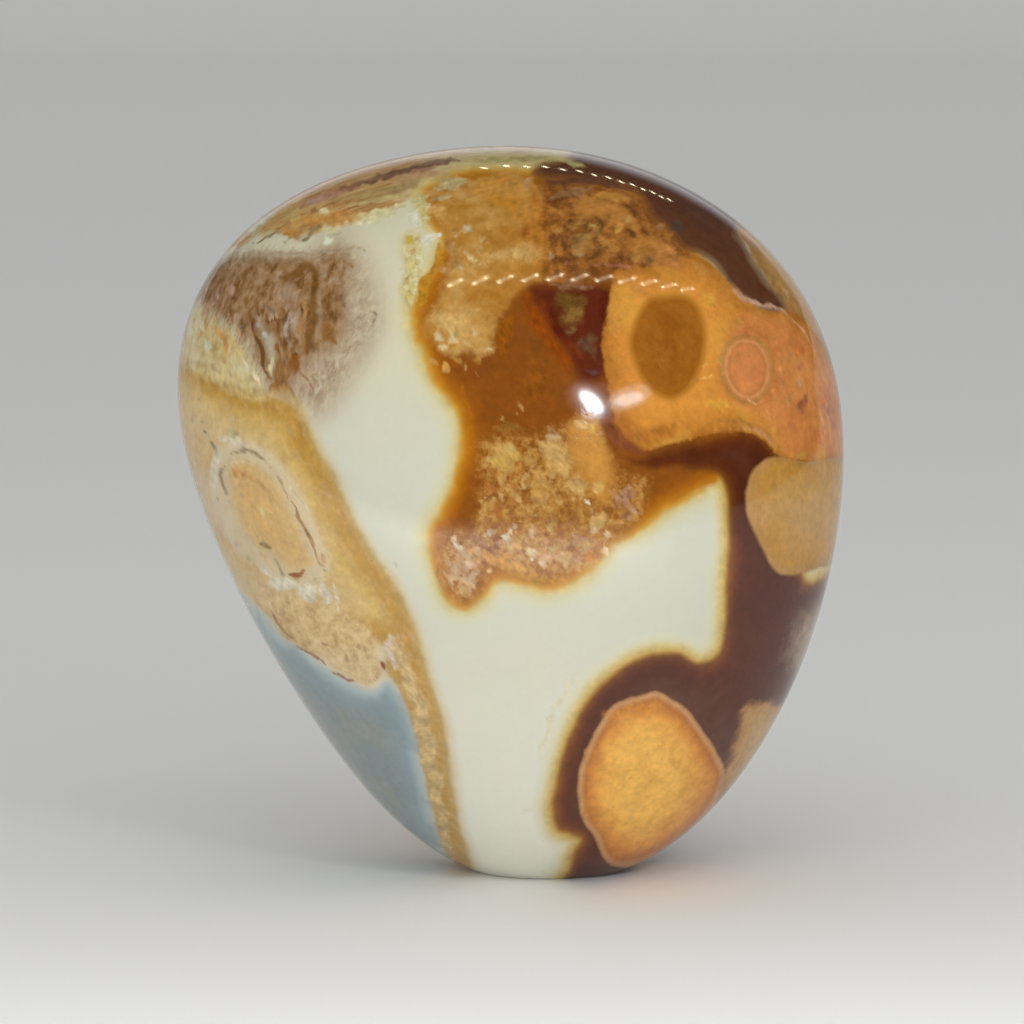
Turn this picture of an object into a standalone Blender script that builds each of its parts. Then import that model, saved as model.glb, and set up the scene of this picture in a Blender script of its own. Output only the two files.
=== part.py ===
"""A polished freeform of polychrome jasper: one piece of natural stone that stands on a small flat.

Blender 4.5, metres, +Z up. The broad domed face looks along -Y. The origin lies on the ground,
under the middle of the stone.
"""

import math

import bmesh
import bpy
import numpy as np

MM = 0.001

# The outline seen from the front: how far it reaches from the middle of the belly, in equal
# turns, starting at +X and going up over the top and round.
OUTLINE_REACH = np.array(
    [49.7, 52.0, 53.0, 52.6, 52.1, 54.0, 56.2, 54.4, 47.4, 43.7, 44.7, 51.2, 58.7, 58.2, 53.2, 49.6]
) * MM
OUTLINE_WAVES = 6  # the polish leaves no wave shorter than a sixth of the way round

BELLY_HEIGHT = 56.5 * MM  # the middle of the belly above the flat
FRONT_DEPTH = 38.0 * MM  # the domed face in front of the widest line
BACK_DEPTH = 28.0 * MM  # the flatter back behind it
BACK_FULLNESS = 0.12  # how much fuller than an ellipse the stone turns into its back
LEAN = 0.05  # how far the stone leans back for each metre of height
RIM_WANDER = 1.6 * MM  # the widest line isn't in one plane: it swings forward and back twice
RIM_WANDER_START = math.radians(40)

FLAT_EDGE = 0.7 * MM  # the eased edge round the flat that it stands on
SHORTEST_EDGE = 0.6 * MM  # shorter edges that the flat's cut leaves are closed up
GRID_CUTS = 26  # cuts along each edge of the cube that the stone is rounded from


def outline_waves():
    """The outline's mean reach, and the strength of each wave round it, as complex numbers."""
    waves = np.fft.rfft(OUTLINE_REACH) / len(OUTLINE_REACH)
    return waves[0].real, waves[1 : OUTLINE_WAVES + 1]


def outline_reach(turn, mean_reach, waves):
    """How far the outline reaches in the direction turn, an angle from +X towards +Z."""
    order = np.arange(1, len(waves) + 1)
    return mean_reach + 2.0 * float(np.sum((waves * np.exp(1j * order * turn)).real))


def stone_point(direction, mean_reach, waves):
    """The point of the stone's skin that belongs to a unit direction from its belly."""
    across, deep, up = direction
    turn = math.atan2(up, across)
    spread = math.hypot(across, up)  # 0 in the middle of the face, 1 on the widest line
    # The outline fades out towards the middle of the face, which is a plain dome.
    reach = mean_reach + (outline_reach(turn, mean_reach, waves) - mean_reach) * spread**2
    swell = 1.0 + BACK_FULLNESS * (1.0 + deep) * (spread * deep) ** 2
    mean_depth = (FRONT_DEPTH + BACK_DEPTH) / 2
    front_bias = (FRONT_DEPTH - BACK_DEPTH) / 2
    x = across * reach * swell
    z = up * reach * swell
    y = (mean_depth * deep - front_bias * deep**2) * swell
    y += LEAN * z + RIM_WANDER * spread**2 * math.sin(2.0 * turn + RIM_WANDER_START)
    return x, y, z + BELLY_HEIGHT


def rounded_stone():
    """The whole stone before its flat is cut, as a cube rounded out to the stone's skin."""
    mesh = bmesh.new()
    bmesh.ops.create_cube(mesh, size=2.0)
    bmesh.ops.subdivide_edges(mesh, edges=mesh.edges[:], cuts=GRID_CUTS, use_grid_fill=True)
    mean_reach, waves = outline_waves()
    for vert in mesh.verts:
        # The tangent spaces the grid in equal angles, so its squares stay alike in size.
        for axis in range(3):
            vert.co[axis] = math.tan(vert.co[axis] * math.pi / 4)
        vert.co = stone_point(vert.co.normalized(), mean_reach, waves)
    return mesh


def cut_flat(mesh):
    """Saws the lowest part off level with the ground, and eases the edge of the cut."""
    everything = mesh.verts[:] + mesh.edges[:] + mesh.faces[:]
    bmesh.ops.bisect_plane(
        mesh, geom=everything, dist=1e-7, plane_co=(0, 0, 0), plane_no=(0, 0, -1), clear_outer=True
    )
    low = [vert for vert in mesh.verts if vert.co.z < SHORTEST_EDGE]
    bmesh.ops.remove_doubles(mesh, verts=low, dist=SHORTEST_EDGE)
    rim = [edge for edge in mesh.edges if edge.is_boundary]
    for edge in rim:
        for vert in edge.verts:
            vert.co.z = 0.0
    bmesh.ops.edgeloop_fill(mesh, edges=rim)
    bmesh.ops.bevel(
        mesh, geom=rim, offset=FLAT_EDGE, segments=2, profile=0.5, affect="EDGES", material=-1
    )
    bmesh.ops.recalc_face_normals(mesh, faces=mesh.faces[:])


def centre_over_origin(mesh):
    """Moves the stone sideways, so that its box is centred over the origin."""
    for axis in (0, 1):
        along = [vert.co[axis] for vert in mesh.verts]
        shift = (min(along) + max(along)) / 2
        for vert in mesh.verts:
            vert.co[axis] -= shift


def polished_jasper():
    """The cream ground colour of the stone, under a mirror polish."""
    material = bpy.data.materials.new("polished_jasper")
    material.use_nodes = True
    shader = material.node_tree.nodes["Principled BSDF"]
    shader.inputs["Base Color"].default_value = (0.63, 0.60, 0.48, 1.0)
    shader.inputs["Roughness"].default_value = 0.08
    shader.inputs["Metallic"].default_value = 0.0
    return material


def build_stone():
    mesh = rounded_stone()
    cut_flat(mesh)
    centre_over_origin(mesh)
    data = bpy.data.meshes.new("jasper_freeform")
    mesh.to_mesh(data)
    mesh.free()
    data.materials.append(polished_jasper())
    data.shade_smooth()
    data.set_sharp_from_angle(angle=math.radians(40))
    stone = bpy.data.objects.new("jasper_freeform", data)
    bpy.context.collection.objects.link(stone)


for old in list(bpy.data.objects):
    bpy.data.objects.remove(old, do_unlink=True)
build_stone()
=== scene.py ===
import math

import bmesh
import bpy
import numpy as np
from mathutils import Matrix, Vector


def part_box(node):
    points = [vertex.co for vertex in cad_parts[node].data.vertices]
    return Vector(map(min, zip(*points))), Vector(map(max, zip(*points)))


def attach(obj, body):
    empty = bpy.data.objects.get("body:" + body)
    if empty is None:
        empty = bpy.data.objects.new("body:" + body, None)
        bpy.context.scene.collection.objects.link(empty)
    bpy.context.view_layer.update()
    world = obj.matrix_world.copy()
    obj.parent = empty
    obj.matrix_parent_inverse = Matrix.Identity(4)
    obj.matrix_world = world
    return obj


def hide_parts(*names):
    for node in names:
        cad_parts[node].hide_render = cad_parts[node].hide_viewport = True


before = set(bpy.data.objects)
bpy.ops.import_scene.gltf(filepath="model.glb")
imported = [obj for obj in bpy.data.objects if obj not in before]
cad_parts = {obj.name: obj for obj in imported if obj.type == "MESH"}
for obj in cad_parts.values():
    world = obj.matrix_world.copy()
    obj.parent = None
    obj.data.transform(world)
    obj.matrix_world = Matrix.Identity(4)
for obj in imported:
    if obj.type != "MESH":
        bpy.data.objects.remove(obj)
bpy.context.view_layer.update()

# The stone
# One piece of polychrome jasper, sawn and ground to a rounded freeform that narrows downwards, and
# polished to a mirror all over. Underneath it is cut off level, so that it stands by itself.
MM = 0.001
OUTLINE_REACH = np.array(  # from the belly's middle, in equal turns from +X over the top and round
    [49.7, 52.0, 53.0, 52.6, 52.1, 54.0, 56.2, 54.4, 47.4, 43.7, 44.7, 51.2, 58.7, 58.2, 53.2, 49.6]
) * MM
OUTLINE_WAVES = 6
BELLY_HEIGHT = 56.5 * MM
FRONT_DEPTH = 38.0 * MM
BACK_DEPTH = 28.0 * MM
BACK_FULLNESS = 0.12
LEAN = 0.05
RIM_WANDER = 1.6 * MM
RIM_WANDER_START = math.radians(40)
GRID_CUTS = 126  # cuts along each edge of the cube that the stone is rounded from
DENSER_FRONT = 0.5  # draws the grid's points forward, so that the face has the finest mesh
SHORTEST_EDGE = 0.15 * MM
FLAT_EDGE = 0.25 * MM


def skin_points(directions):
    """The points of the stone's skin that belong to unit directions from its belly."""
    across, deep, up = directions.T
    turn = np.arctan2(up, across)
    spread = np.hypot(across, up)
    waves = np.fft.rfft(OUTLINE_REACH) / len(OUTLINE_REACH)
    mean_reach = waves[0].real
    reach = np.zeros_like(turn)
    for order in range(1, OUTLINE_WAVES + 1):
        reach += 2.0 * (waves[order] * np.exp(1j * order * turn)).real
    # The outline fades out towards the middle of the face, which is a plain dome.
    reach = mean_reach + reach * spread**2
    swell = 1.0 + BACK_FULLNESS * (1.0 + deep) * (spread * deep) ** 2
    x = across * reach * swell
    z = up * reach * swell
    mean_depth = (FRONT_DEPTH + BACK_DEPTH) / 2
    front_bias = (FRONT_DEPTH - BACK_DEPTH) / 2
    y = (mean_depth * deep - front_bias * deep**2) * swell
    y += LEAN * z + RIM_WANDER * spread**2 * np.sin(2.0 * turn + RIM_WANDER_START)
    return np.column_stack([x, y, z + BELLY_HEIGHT])


form = bmesh.new()
bmesh.ops.create_cube(form, size=2.0)
bmesh.ops.subdivide_edges(form, edges=form.edges[:], cuts=GRID_CUTS, use_grid_fill=True)
directions = np.array([vert.co[:] for vert in form.verts])
directions = np.tan(directions * math.pi / 4)  # spaces the grid in equal angles
directions[:, 1] -= DENSER_FRONT
directions /= np.linalg.norm(directions, axis=1, keepdims=True)
for vert, point in zip(form.verts, skin_points(directions)):
    vert.co = point

# The flat is sawn level with the ground, and its edge is eased by a touch of the polishing wheel.
everything = form.verts[:] + form.edges[:] + form.faces[:]
bmesh.ops.bisect_plane(
    form, geom=everything, dist=1e-7, plane_co=(0, 0, 0), plane_no=(0, 0, -1), clear_outer=True
)
low = [vert for vert in form.verts if vert.co.z < SHORTEST_EDGE]
bmesh.ops.remove_doubles(form, verts=low, dist=SHORTEST_EDGE)
saw_line = [edge for edge in form.edges if edge.is_boundary]
for edge in saw_line:
    for vert in edge.verts:
        vert.co.z = 0.0
bmesh.ops.edgeloop_fill(form, edges=saw_line)
bmesh.ops.bevel(
    form, geom=saw_line, offset=FLAT_EDGE, segments=2, profile=0.5, affect="EDGES", material=-1
)
bmesh.ops.recalc_face_normals(form, faces=form.faces[:])

# The stone stands where the solid stands.
solid_low, solid_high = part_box("jasper_freeform")
for axis in (0, 1):
    along = [vert.co[axis] for vert in form.verts]
    shift = (solid_low[axis] + solid_high[axis]) / 2 - (min(along) + max(along)) / 2
    for vert in form.verts:
        vert.co[axis] += shift
form.normal_update()
skin = np.array([vert.co[:] for vert in form.verts])
skin_normals = np.array([vert.normal[:] for vert in form.verts])
stone_mesh = bpy.data.meshes.new("polished_stone")
form.to_mesh(stone_mesh)
form.free()
stone_mesh.shade_smooth()
stone = bpy.data.objects.new("polished_stone", stone_mesh)
bpy.context.collection.objects.link(stone)

# The face is mapped as someone sees it who stands before the stone and looks slightly down on it:
# millimetres across from its middle, and millimetres up from its foot.
SIGHT_DISTANCE = 0.9
SIGHT_RISE = math.radians(8.0)
SIGHT_AIM = Vector((0.15 * MM, 0.0, 54.3 * MM))
AIM_UP = 54.7  # where that aim lies on the map
sight_line = Vector((0.0, math.cos(SIGHT_RISE), -math.sin(SIGHT_RISE)))
sight_up = Vector((0.0, math.sin(SIGHT_RISE), math.cos(SIGHT_RISE)))
from_eye = skin - np.array(SIGHT_AIM - SIGHT_DISTANCE * sight_line)
nearness = SIGHT_DISTANCE / (from_eye @ np.array(sight_line))
map_across = from_eye[:, 0] * nearness / MM
map_up = (from_eye @ np.array(sight_up)) * nearness / MM + AIM_UP

# The colours run on through the stone. Behind the widest line they turn, shrink and drift, as
# layers do that cross a stone at a slant, so the back shows the same rock but another picture.
BACK_TURN = math.radians(38.0)
BACK_GROWTH = 1.12
BACK_DRIFT = (7.0, -5.0)
BACK_MIDDLE = (2.0, 58.0)
WAVE_HEIGHT = 5.0
WAVE_SPANS = (11.0, 9.0)  # millimetres to a radian of each wave
WAVE_STARTS = (0.7, 2.1)  # radians


def eased(share):
    """A share from 0 to 1 that starts and ends gently."""
    share = np.clip(share, 0.0, 1.0)
    return share * share * (3.0 - 2.0 * share)


behind = eased(skin_normals[:, 1])
turned = behind * BACK_TURN
grown = 1.0 + (BACK_GROWTH - 1.0) * behind
from_middle = map_across - BACK_MIDDLE[0], map_up - BACK_MIDDLE[1]
slid_across = (from_middle[0] * np.cos(turned) - from_middle[1] * np.sin(turned)) * grown
slid_up = (from_middle[0] * np.sin(turned) + from_middle[1] * np.cos(turned)) * grown
wave_across = WAVE_HEIGHT * np.sin(map_up / WAVE_SPANS[0] + WAVE_STARTS[0])
wave_up = WAVE_HEIGHT * np.sin(map_across / WAVE_SPANS[1] + WAVE_STARTS[1])
slid_across += BACK_MIDDLE[0] + behind * (BACK_DRIFT[0] + wave_across)
slid_up += BACK_MIDDLE[1] + behind * (BACK_DRIFT[1] + wave_up)
rock_map = np.column_stack([slid_across, slid_up])

CURVE_STEPS = 6
FAR = 9.0  # beyond this many millimetres a zone's edge no longer matters


def curved(before, start, end, after, steps):
    """Points on the smooth lines that lead from each start to its end."""
    points = []
    for step in range(steps):
        t = step / steps
        doubled = (
            2.0 * start
            + (end - before) * t
            + (2.0 * before - 5.0 * start + 4.0 * end - after) * t**2
            + (3.0 * start - before - 3.0 * end + after) * t**3
        )
        points.append(0.5 * doubled)
    return np.stack(points, axis=1).reshape(-1, 2)


def distances(points, line, reach):
    """How far each point lies outside a line that reaches so far to both sides along its way."""
    nearest = np.full(len(points), 2.0 * FAR)
    x, y = points.T
    for (ax, ay), (bx, by), first, last in zip(line[:-1], line[1:], reach[:-1], reach[1:]):
        run, rise = bx - ax, by - ay
        share = np.clip(((x - ax) * run + (y - ay) * rise) / (run**2 + rise**2 + 1e-12), 0, 1)
        away = np.hypot(ax + share * run - x, ay + share * rise - y) - first - share * (last - first)
        nearest = np.minimum(nearest, away)
    return nearest


def depth_inside(corners):
    """How many millimetres each point of the skin lies inside a closed line, or outside if below 0."""
    corners = np.array(corners, float)
    before, after, later = (np.roll(corners, -shift, axis=0) for shift in (-1, 1, 2))
    line = curved(before, corners, after, later, CURVE_STEPS)
    line = np.vstack([line, line[:1]])
    near = np.all((rock_map > line.min(0) - FAR) & (rock_map < line.max(0) + FAR), axis=1)
    x, y = rock_map[near].T
    crossings = np.zeros(len(x), bool)
    for (ax, ay), (bx, by) in zip(line[:-1], line[1:]):
        if by != ay:
            crossings ^= ((ay > y) != (by > y)) & (x < ax + (bx - ax) * (y - ay) / (by - ay))
    found = np.full(len(rock_map), -FAR)
    away = distances(rock_map[near], line, np.zeros(len(line)))
    found[near] = np.where(crossings, away, -away)
    return found


depths = {}  # how deep each point lies in each zone


def zone(name, *outlines):
    """Lays down a colour zone made of one or more closed lines."""
    depths[name] = np.max([depth_inside(corners) for corners in outlines], axis=0)


# The small marks in the rock, such as veins, flecks and grains, lie over the zones. They share one
# colour attribute, with their cover in its alpha.
marks = np.zeros((len(skin), 4))
dice = np.random.default_rng(11)
torn_map = rock_map.copy()  # the map with its lines torn by a fine disorder, as in rock
clouding = np.zeros(len(skin))  # how much lighter or darker the marks are from place to place
TEAR_LENGTHS = (0.9, 1.3, 1.9, 2.7, 3.9, 5.5)
LEAST_TEAR = 0.012
TEAR_PER_LENGTH = 0.022
CLOUD_STRENGTH = 0.04
CLOUD_FINENESS = 1.7
for tear_length in TEAR_LENGTHS:
    tear = LEAST_TEAR + TEAR_PER_LENGTH * tear_length
    for _ in range(3):
        heading = dice.uniform(0.0, math.tau)
        waves = rock_map @ (math.cos(heading), math.sin(heading)) * math.tau / tear_length
        torn_by = np.sin(waves + dice.uniform(0.0, math.tau))
        torn_map += np.outer(torn_by, dice.normal(0.0, tear, 2))
        clouding += CLOUD_STRENGTH * np.sin(CLOUD_FINENESS * waves + dice.uniform(0.0, math.tau))

STROKE_STEPS = 3
STROKE_TIP = 0.12  # the share of a half wave that is left off at both ends of a stroke's swelling
LONGEST_TEAR = 1.0


def brush(tint, width, *paths, cover=0.8, soft=0.6):
    """Lays marks of one colour and width in millimetres along smooth lines; one point is a dot."""
    for path in paths:
        path = np.array(path, float).reshape(-1, 2)
        if len(path) > 1:
            ends = np.vstack([2 * path[0] - path[1], path, 2 * path[-1] - path[-2]])
            line = curved(ends[:-3], ends[1:-2], ends[2:-1], ends[3:], STROKE_STEPS)
            line = np.vstack([line, path[-1:]])
            swelling = np.sin(np.linspace(STROKE_TIP, 1.0 - STROKE_TIP, len(line)) * math.pi)
        else:
            line = np.vstack([path, path])
            swelling = np.ones(2)
        margin = width / 2 + soft + LONGEST_TEAR
        near = np.all((torn_map > line.min(0) - margin) & (torn_map < line.max(0) + margin), axis=1)
        near = np.flatnonzero(near)
        away = distances(torn_map[near], line, width / 2 * swelling)
        share = cover * eased(0.5 - away / soft)
        whole = marks[near, 3] * (1.0 - share) + share
        weight = np.where(whole > 0.0, share / np.maximum(whole, 1e-9), 1.0)[:, None]
        tinted = np.outer(1.0 + clouding[near], tint)
        marks[near, :3] += (tinted - marks[near, :3]) * weight
        marks[near, 3] = whole


GRAIN_SCATTER = 0.45  # as a share of the reach
GRAIN_SLANT = 0.35
LEAST_GRAIN_DEPTH = 0.3


def sprinkle(name, middle, reach, count, widths, *tints, cover=0.85, soft=0.5):
    """Scatters grains round a middle, as far as the zone goes."""
    spots = middle + dice.normal(0.0, GRAIN_SCATTER, (count * 3, 2)) * reach
    sown = 0
    for spot_at in spots:
        if sown == count:
            break
        nearest = np.argmin(np.sum((rock_map - spot_at) ** 2, axis=1))
        if depths[name][nearest] < LEAST_GRAIN_DEPTH:
            continue
        sown += 1
        slant = dice.normal(0.0, GRAIN_SLANT, 2)
        tint = tints[dice.integers(len(tints))]
        brush(tint, dice.uniform(*widths), [spot_at, spot_at + slant], cover=cover, soft=soft)


material = bpy.data.materials.new("polished_jasper")
material.use_nodes = True
nodes = material.node_tree.nodes
links = material.node_tree.links
polish = nodes["Principled BSDF"]
place = nodes.new("ShaderNodeTexCoord").outputs["Object"]


def feed(socket, value):
    """Gives a socket a value, or the link that it comes from."""
    if isinstance(value, bpy.types.NodeSocket):
        links.new(value, socket)
    elif isinstance(value, tuple):
        socket.default_value = (*value, 1.0)
    else:
        socket.default_value = value


def reckon(operation, first, second):
    """One sum, product or the like of two values or links."""
    node = nodes.new("ShaderNodeMath")
    node.operation = operation
    feed(node.inputs[0], first)
    feed(node.inputs[1], second)
    return node.outputs[0]


def sum_of(first, second):
    """Two values or links added up."""
    return reckon("ADD", first, second)


def product(first, second):
    """Two values or links multiplied."""
    return reckon("MULTIPLY", first, second)


SEED_STEP = (0.37, 0.11, 0.23)  # from one seed's noise to the next


def grain(size, detail=3.0, rough=0.5, long=1.0, lean=0.0, seed=0, twist=0.0):
    """Cloudy noise with grains of so many millimetres, drawn out long times along a line that climbs
    by lean degrees to the right."""
    lay = nodes.new("ShaderNodeMapping")
    lay.vector_type = "TEXTURE"
    lay.inputs["Location"].default_value = [step * seed for step in SEED_STEP]
    lay.inputs["Rotation"].default_value = (0.0, -math.radians(lean), 0.0)
    lay.inputs["Scale"].default_value = (size * long * MM, size * MM, size * MM)
    links.new(place, lay.inputs["Vector"])
    noise = nodes.new("ShaderNodeTexNoise")
    noise.inputs["Scale"].default_value = 1.0
    noise.inputs["Detail"].default_value = detail
    noise.inputs["Roughness"].default_value = rough
    noise.inputs["Distortion"].default_value = twist
    links.new(lay.outputs["Vector"], noise.inputs["Vector"])
    return noise.outputs["Fac"]


def from_to(value, low, high, start=0.0, end=1.0, smooth=True):
    """Turns low to high of a value into start to end."""
    node = nodes.new("ShaderNodeMapRange")
    node.interpolation_type = "SMOOTHSTEP" if smooth else "LINEAR"
    feed(node.inputs["Value"], value)
    node.inputs["From Min"].default_value = low
    node.inputs["From Max"].default_value = high
    node.inputs["To Min"].default_value = start
    node.inputs["To Max"].default_value = end
    return node.outputs["Result"]


MIX_SOCKETS = (0, 6, 7, 2)  # of a mix of colours: its share, its two colours and its outcome


def mixed(under, over, share):
    """One colour laid over another, as a share."""
    share_in, under_in, over_in, outcome = MIX_SOCKETS
    node = nodes.new("ShaderNodeMix")
    node.data_type = "RGBA"
    feed(node.inputs[share_in], share)
    feed(node.inputs[under_in], under)
    feed(node.inputs[over_in], over)
    return node.outputs[outcome]


def shades(value, *stops):
    """The colours that a value runs through, and how strongly they cover. A stop is a value, a
    colour and, where it isn't full, the cover."""
    low, high = stops[0][0], stops[-1][0]
    node = nodes.new("ShaderNodeValToRGB")
    ramp = node.color_ramp
    while len(ramp.elements) < len(stops):
        ramp.elements.new(1.0)
    for element, (at, tint, *cover) in zip(ramp.elements, stops):
        element.position = (at - low) / (high - low)
        element.color = (*tint, cover[0] if cover else 1.0)
    links.new(from_to(value, low, high, smooth=False), node.inputs["Fac"])
    return node.outputs["Color"], node.outputs["Alpha"]


PACK_SIZE = 3  # the zones' depths reach the material three to an attribute
packs = {}


def depth_of(name, ragged=0.0, by=None):
    """A zone's depth at the point, its edge made ragged by so many millimetres of a grain."""
    number = list(depths).index(name)
    pack = f"zones_{number // PACK_SIZE}"
    if pack not in packs:
        fetched = nodes.new("ShaderNodeAttribute")
        fetched.attribute_name = pack
        packs[pack] = nodes.new("ShaderNodeSeparateXYZ")
        links.new(fetched.outputs["Vector"], packs[pack].inputs["Vector"])
    depth = packs[pack].outputs[number % PACK_SIZE]
    if not ragged:
        return depth
    return sum_of(depth, product(sum_of(by, -0.5), 2.0 * ragged))


def spot(name, soft, ragged=0.0, by=None, at=0.0):
    """Where a zone covers, from 0 outside to 1 inside, over an edge of so many millimetres."""
    return from_to(depth_of(name, ragged, by), at - soft / 2, at + soft / 2)


def lay(under, name, ragged, by, *stops):
    """Lays a zone over the colours under it, in the shades that follow each other from its edge."""
    return mixed(under, *shades(depth_of(name, ragged, by), *stops))


# The grains that more than one colour zone uses.
drift = grain(30.0, 2.0)
cloud = grain(9.0, 3.0, seed=1)
mottle = grain(2.6, 3.0, 0.6, seed=2)
ripple = grain(5.0, 2.0, seed=3)
crumb = grain(1.1, 4.0, 0.65, seed=4)

# The ground is a cream porcelain-like jasper, faintly greenish, with grey clouds hardly darker.
CREAM = (0.61, 0.605, 0.495)
WARM_CREAM = (0.63, 0.60, 0.485)
GREEN_CREAM = (0.60, 0.615, 0.455)
GREY_CREAM = (0.56, 0.56, 0.46)
PAINTED_SHADE_CREAM = (0.545, 0.54, 0.44)
UPPER_CREAM = (0.585, 0.545, 0.385)
PAINTED_LIGHT_CREAM = (0.73, 0.72, 0.61)
colour = mixed(CREAM, WARM_CREAM, from_to(cloud, 0.42, 0.62))
colour = mixed(colour, GREEN_CREAM, product(from_to(ripple, 0.5, 0.7), 0.5))
split_place = nodes.new("ShaderNodeSeparateXYZ")
links.new(place, split_place.inputs["Vector"])
altitude = split_place.outputs["Z"]
# Painted shade: the cream is darker at mid height.
painted_shade_halfway = product(from_to(altitude, 28 * MM, 46 * MM), from_to(altitude, 74 * MM, 92 * MM, 0.85, 0.0))
colour = mixed(colour, PAINTED_SHADE_CREAM, painted_shade_halfway)
colour = mixed(colour, UPPER_CREAM, from_to(altitude, 60 * MM, 88 * MM, 0.0, 0.85))
# Painted light: the cream is paler towards the foot.
colour = mixed(colour, PAINTED_LIGHT_CREAM, from_to(altitude, 3 * MM, 38 * MM, 1.0, 0.0))
grey_cloud = product(from_to(mottle, 0.56, 0.70), from_to(cloud, 0.48, 0.66, 0.0, 0.4))
colour = mixed(colour, GREY_CREAM, grey_cloud)

# Upper left: a band of drawn-out tan, olive and rust that follows the top rim.
zone("rim_band", [
    (-47, 92), (-43.5, 93.6), (-41, 94.6), (-38, 96.2), (-35, 96.6), (-32.5, 95.6), (-30, 96.4),
    (-27, 97.4), (-24, 98), (-20, 98.9), (-17, 100.6), (-13, 102.6), (-9, 104.5), (0, 105.6),
    (6, 105.4), (12, 106), (20, 112), (0, 118), (-30, 113), (-48, 101),
])
streak = grain(0.9, 3.0, 0.6, long=7.0, lean=17.0, seed=7)
broad_streak = grain(2.2, 3.0, 0.5, long=5.0, lean=17.0, seed=8)
band, _ = shades(
    sum_of(product(streak, 0.6), product(broad_streak, 0.4)),
    (0.36, (0.29, 0.135, 0.05)), (0.44, (0.41, 0.215, 0.075)), (0.5, (0.49, 0.29, 0.105)),
    (0.56, (0.47, 0.295, 0.105)), (0.64, (0.56, 0.41, 0.19)),
)
layer, layer_cover = shades(
    depth_of("rim_band", 1.6, ripple),
    (6.0, (0.46, 0.25, 0.08), 0.0), (7.5, (0.46, 0.25, 0.08), 0.6), (9.0, (0.58, 0.5, 0.3), 0.6),
    (10.5, (0.34, 0.18, 0.075), 0.6), (12.5, (0.5, 0.34, 0.15), 0.4), (14.0, (0.6, 0.55, 0.38), 0.7),
    (15.5, (0.42, 0.22, 0.07), 0.6), (18.0, (0.5, 0.36, 0.17), 0.3),
)
band = mixed(band, layer, layer_cover)
colour = mixed(colour, (0.52, 0.51, 0.36), product(spot("rim_band", 3.0, 1.0, mottle, at=-1.4), 0.4))
colour = mixed(colour, band, spot("rim_band", 1.3, 0.9, mottle))
RUST = (0.48, 0.205, 0.045)
STRAW = (0.60, 0.52, 0.29)
MOSS = (0.26, 0.20, 0.10)
brush((0.4, 0.22, 0.13), 1.2, [(-33, 100.5), (-28, 102.2), (-24, 103.2)], cover=0.7)
brush((0.43, 0.27, 0.22), 0.6, [(-31, 101.3), (-28.5, 102.2)], cover=0.7)
brush((0.35, 0.235, 0.095), 1.8, [(-27, 101.4), (-20, 102.7), (-14, 104.2)], cover=0.7, soft=1.2)
brush((0.24, 0.13, 0.075), 1.2, [(-25, 103.5), (-20, 104.9), (-14, 106.2), (-8, 107.4)], soft=1.1)
brush((0.15, 0.07, 0.045), 0.6, [(-22, 104.2), (-17, 105.5), (-11, 106.8)], cover=0.7, soft=0.8)
brush((0.33, 0.15, 0.08), 0.7, [(-27, 102.9), (-23, 103.8)], [(-15, 105.1), (-11, 106)], cover=0.7,
      soft=0.7)
brush((0.47, 0.37, 0.15), 1.1, [(-25, 100.3), (-19, 101.6), (-13, 102.7)], cover=0.7)
brush((0.45, 0.28, 0.13), 0.8, [(-18, 104.1), (-13, 104.9), (-9, 105.2)])
brush((0.58, 0.52, 0.28), 1.1, [(-24, 99), (-19, 99.7), (-15, 101.2)], cover=0.85)
brush((0.6, 0.56, 0.34), 0.8, [(-25, 97.9), (-21, 98.5), (-17.5, 99.4)])
brush(RUST, 1.2, [(-34.3, 96.3), (-32, 96.5)], [(-30.6, 97.7), (-28.2, 98.1)], cover=0.9)
brush(RUST, 0.9, [(-28.5, 98), (-26.4, 99), (-24.8, 100)], [(-31, 98.9), (-30.2, 98.2)], cover=0.9)
brush((0.5, 0.27, 0.075), 1.6, [(-34.6, 96.8), (-31, 98.2), (-27.4, 99.4)],
      [(-30, 97), (-26, 98.4), (-22, 99.6)], cover=0.6, soft=1.2)
brush((0.42, 0.22, 0.07), 0.7, [(-33.4, 95.9), (-30.4, 97.5)],
      [(-27.6, 97.6), (-24.6, 98.9), (-22.8, 99.4)], soft=0.8)
brush((0.52, 0.36, 0.12), 1.5, [(-33.3, 98.6), (-31.6, 98.9)])
brush((0.34, 0.16, 0.05), 0.9, [(-26.7, 100.7)], [(-30.2, 100.3), (-29.6, 99.6)])
brush(STRAW, 1.3, [(-28.6, 100), (-28.1, 100)], cover=0.9, soft=0.7)
brush(STRAW, 0.9, [(-28.2, 96.9), (-25.8, 97.4)], cover=0.9)
brush(MOSS, 0.5, [(-39.6, 94.9), (-38.3, 95.4), (-36.6, 96.4), (-34.9, 96.9)],
      [(-32.8, 96.4), (-31.7, 95.6), (-30.6, 96.2), (-29.6, 97.1), (-28.2, 97.5)], cover=0.9)
brush((0.32, 0.26, 0.14), 0.4, [(-35.1, 95.6), (-34.2, 95.2), (-33.4, 95.6)],
      [(-27, 96.3), (-25.6, 96.9)], cover=0.7)
brush((0.6, 0.62, 0.46), 1.8, [(-28.2, 95.5), (-27.4, 95.5)], cover=0.7, soft=1.2)
brush((0.48, 0.44, 0.28), 1.2, [(-40, 96.6), (-37.5, 98), (-35.4, 99.4)], cover=0.7, soft=1.0)

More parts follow.
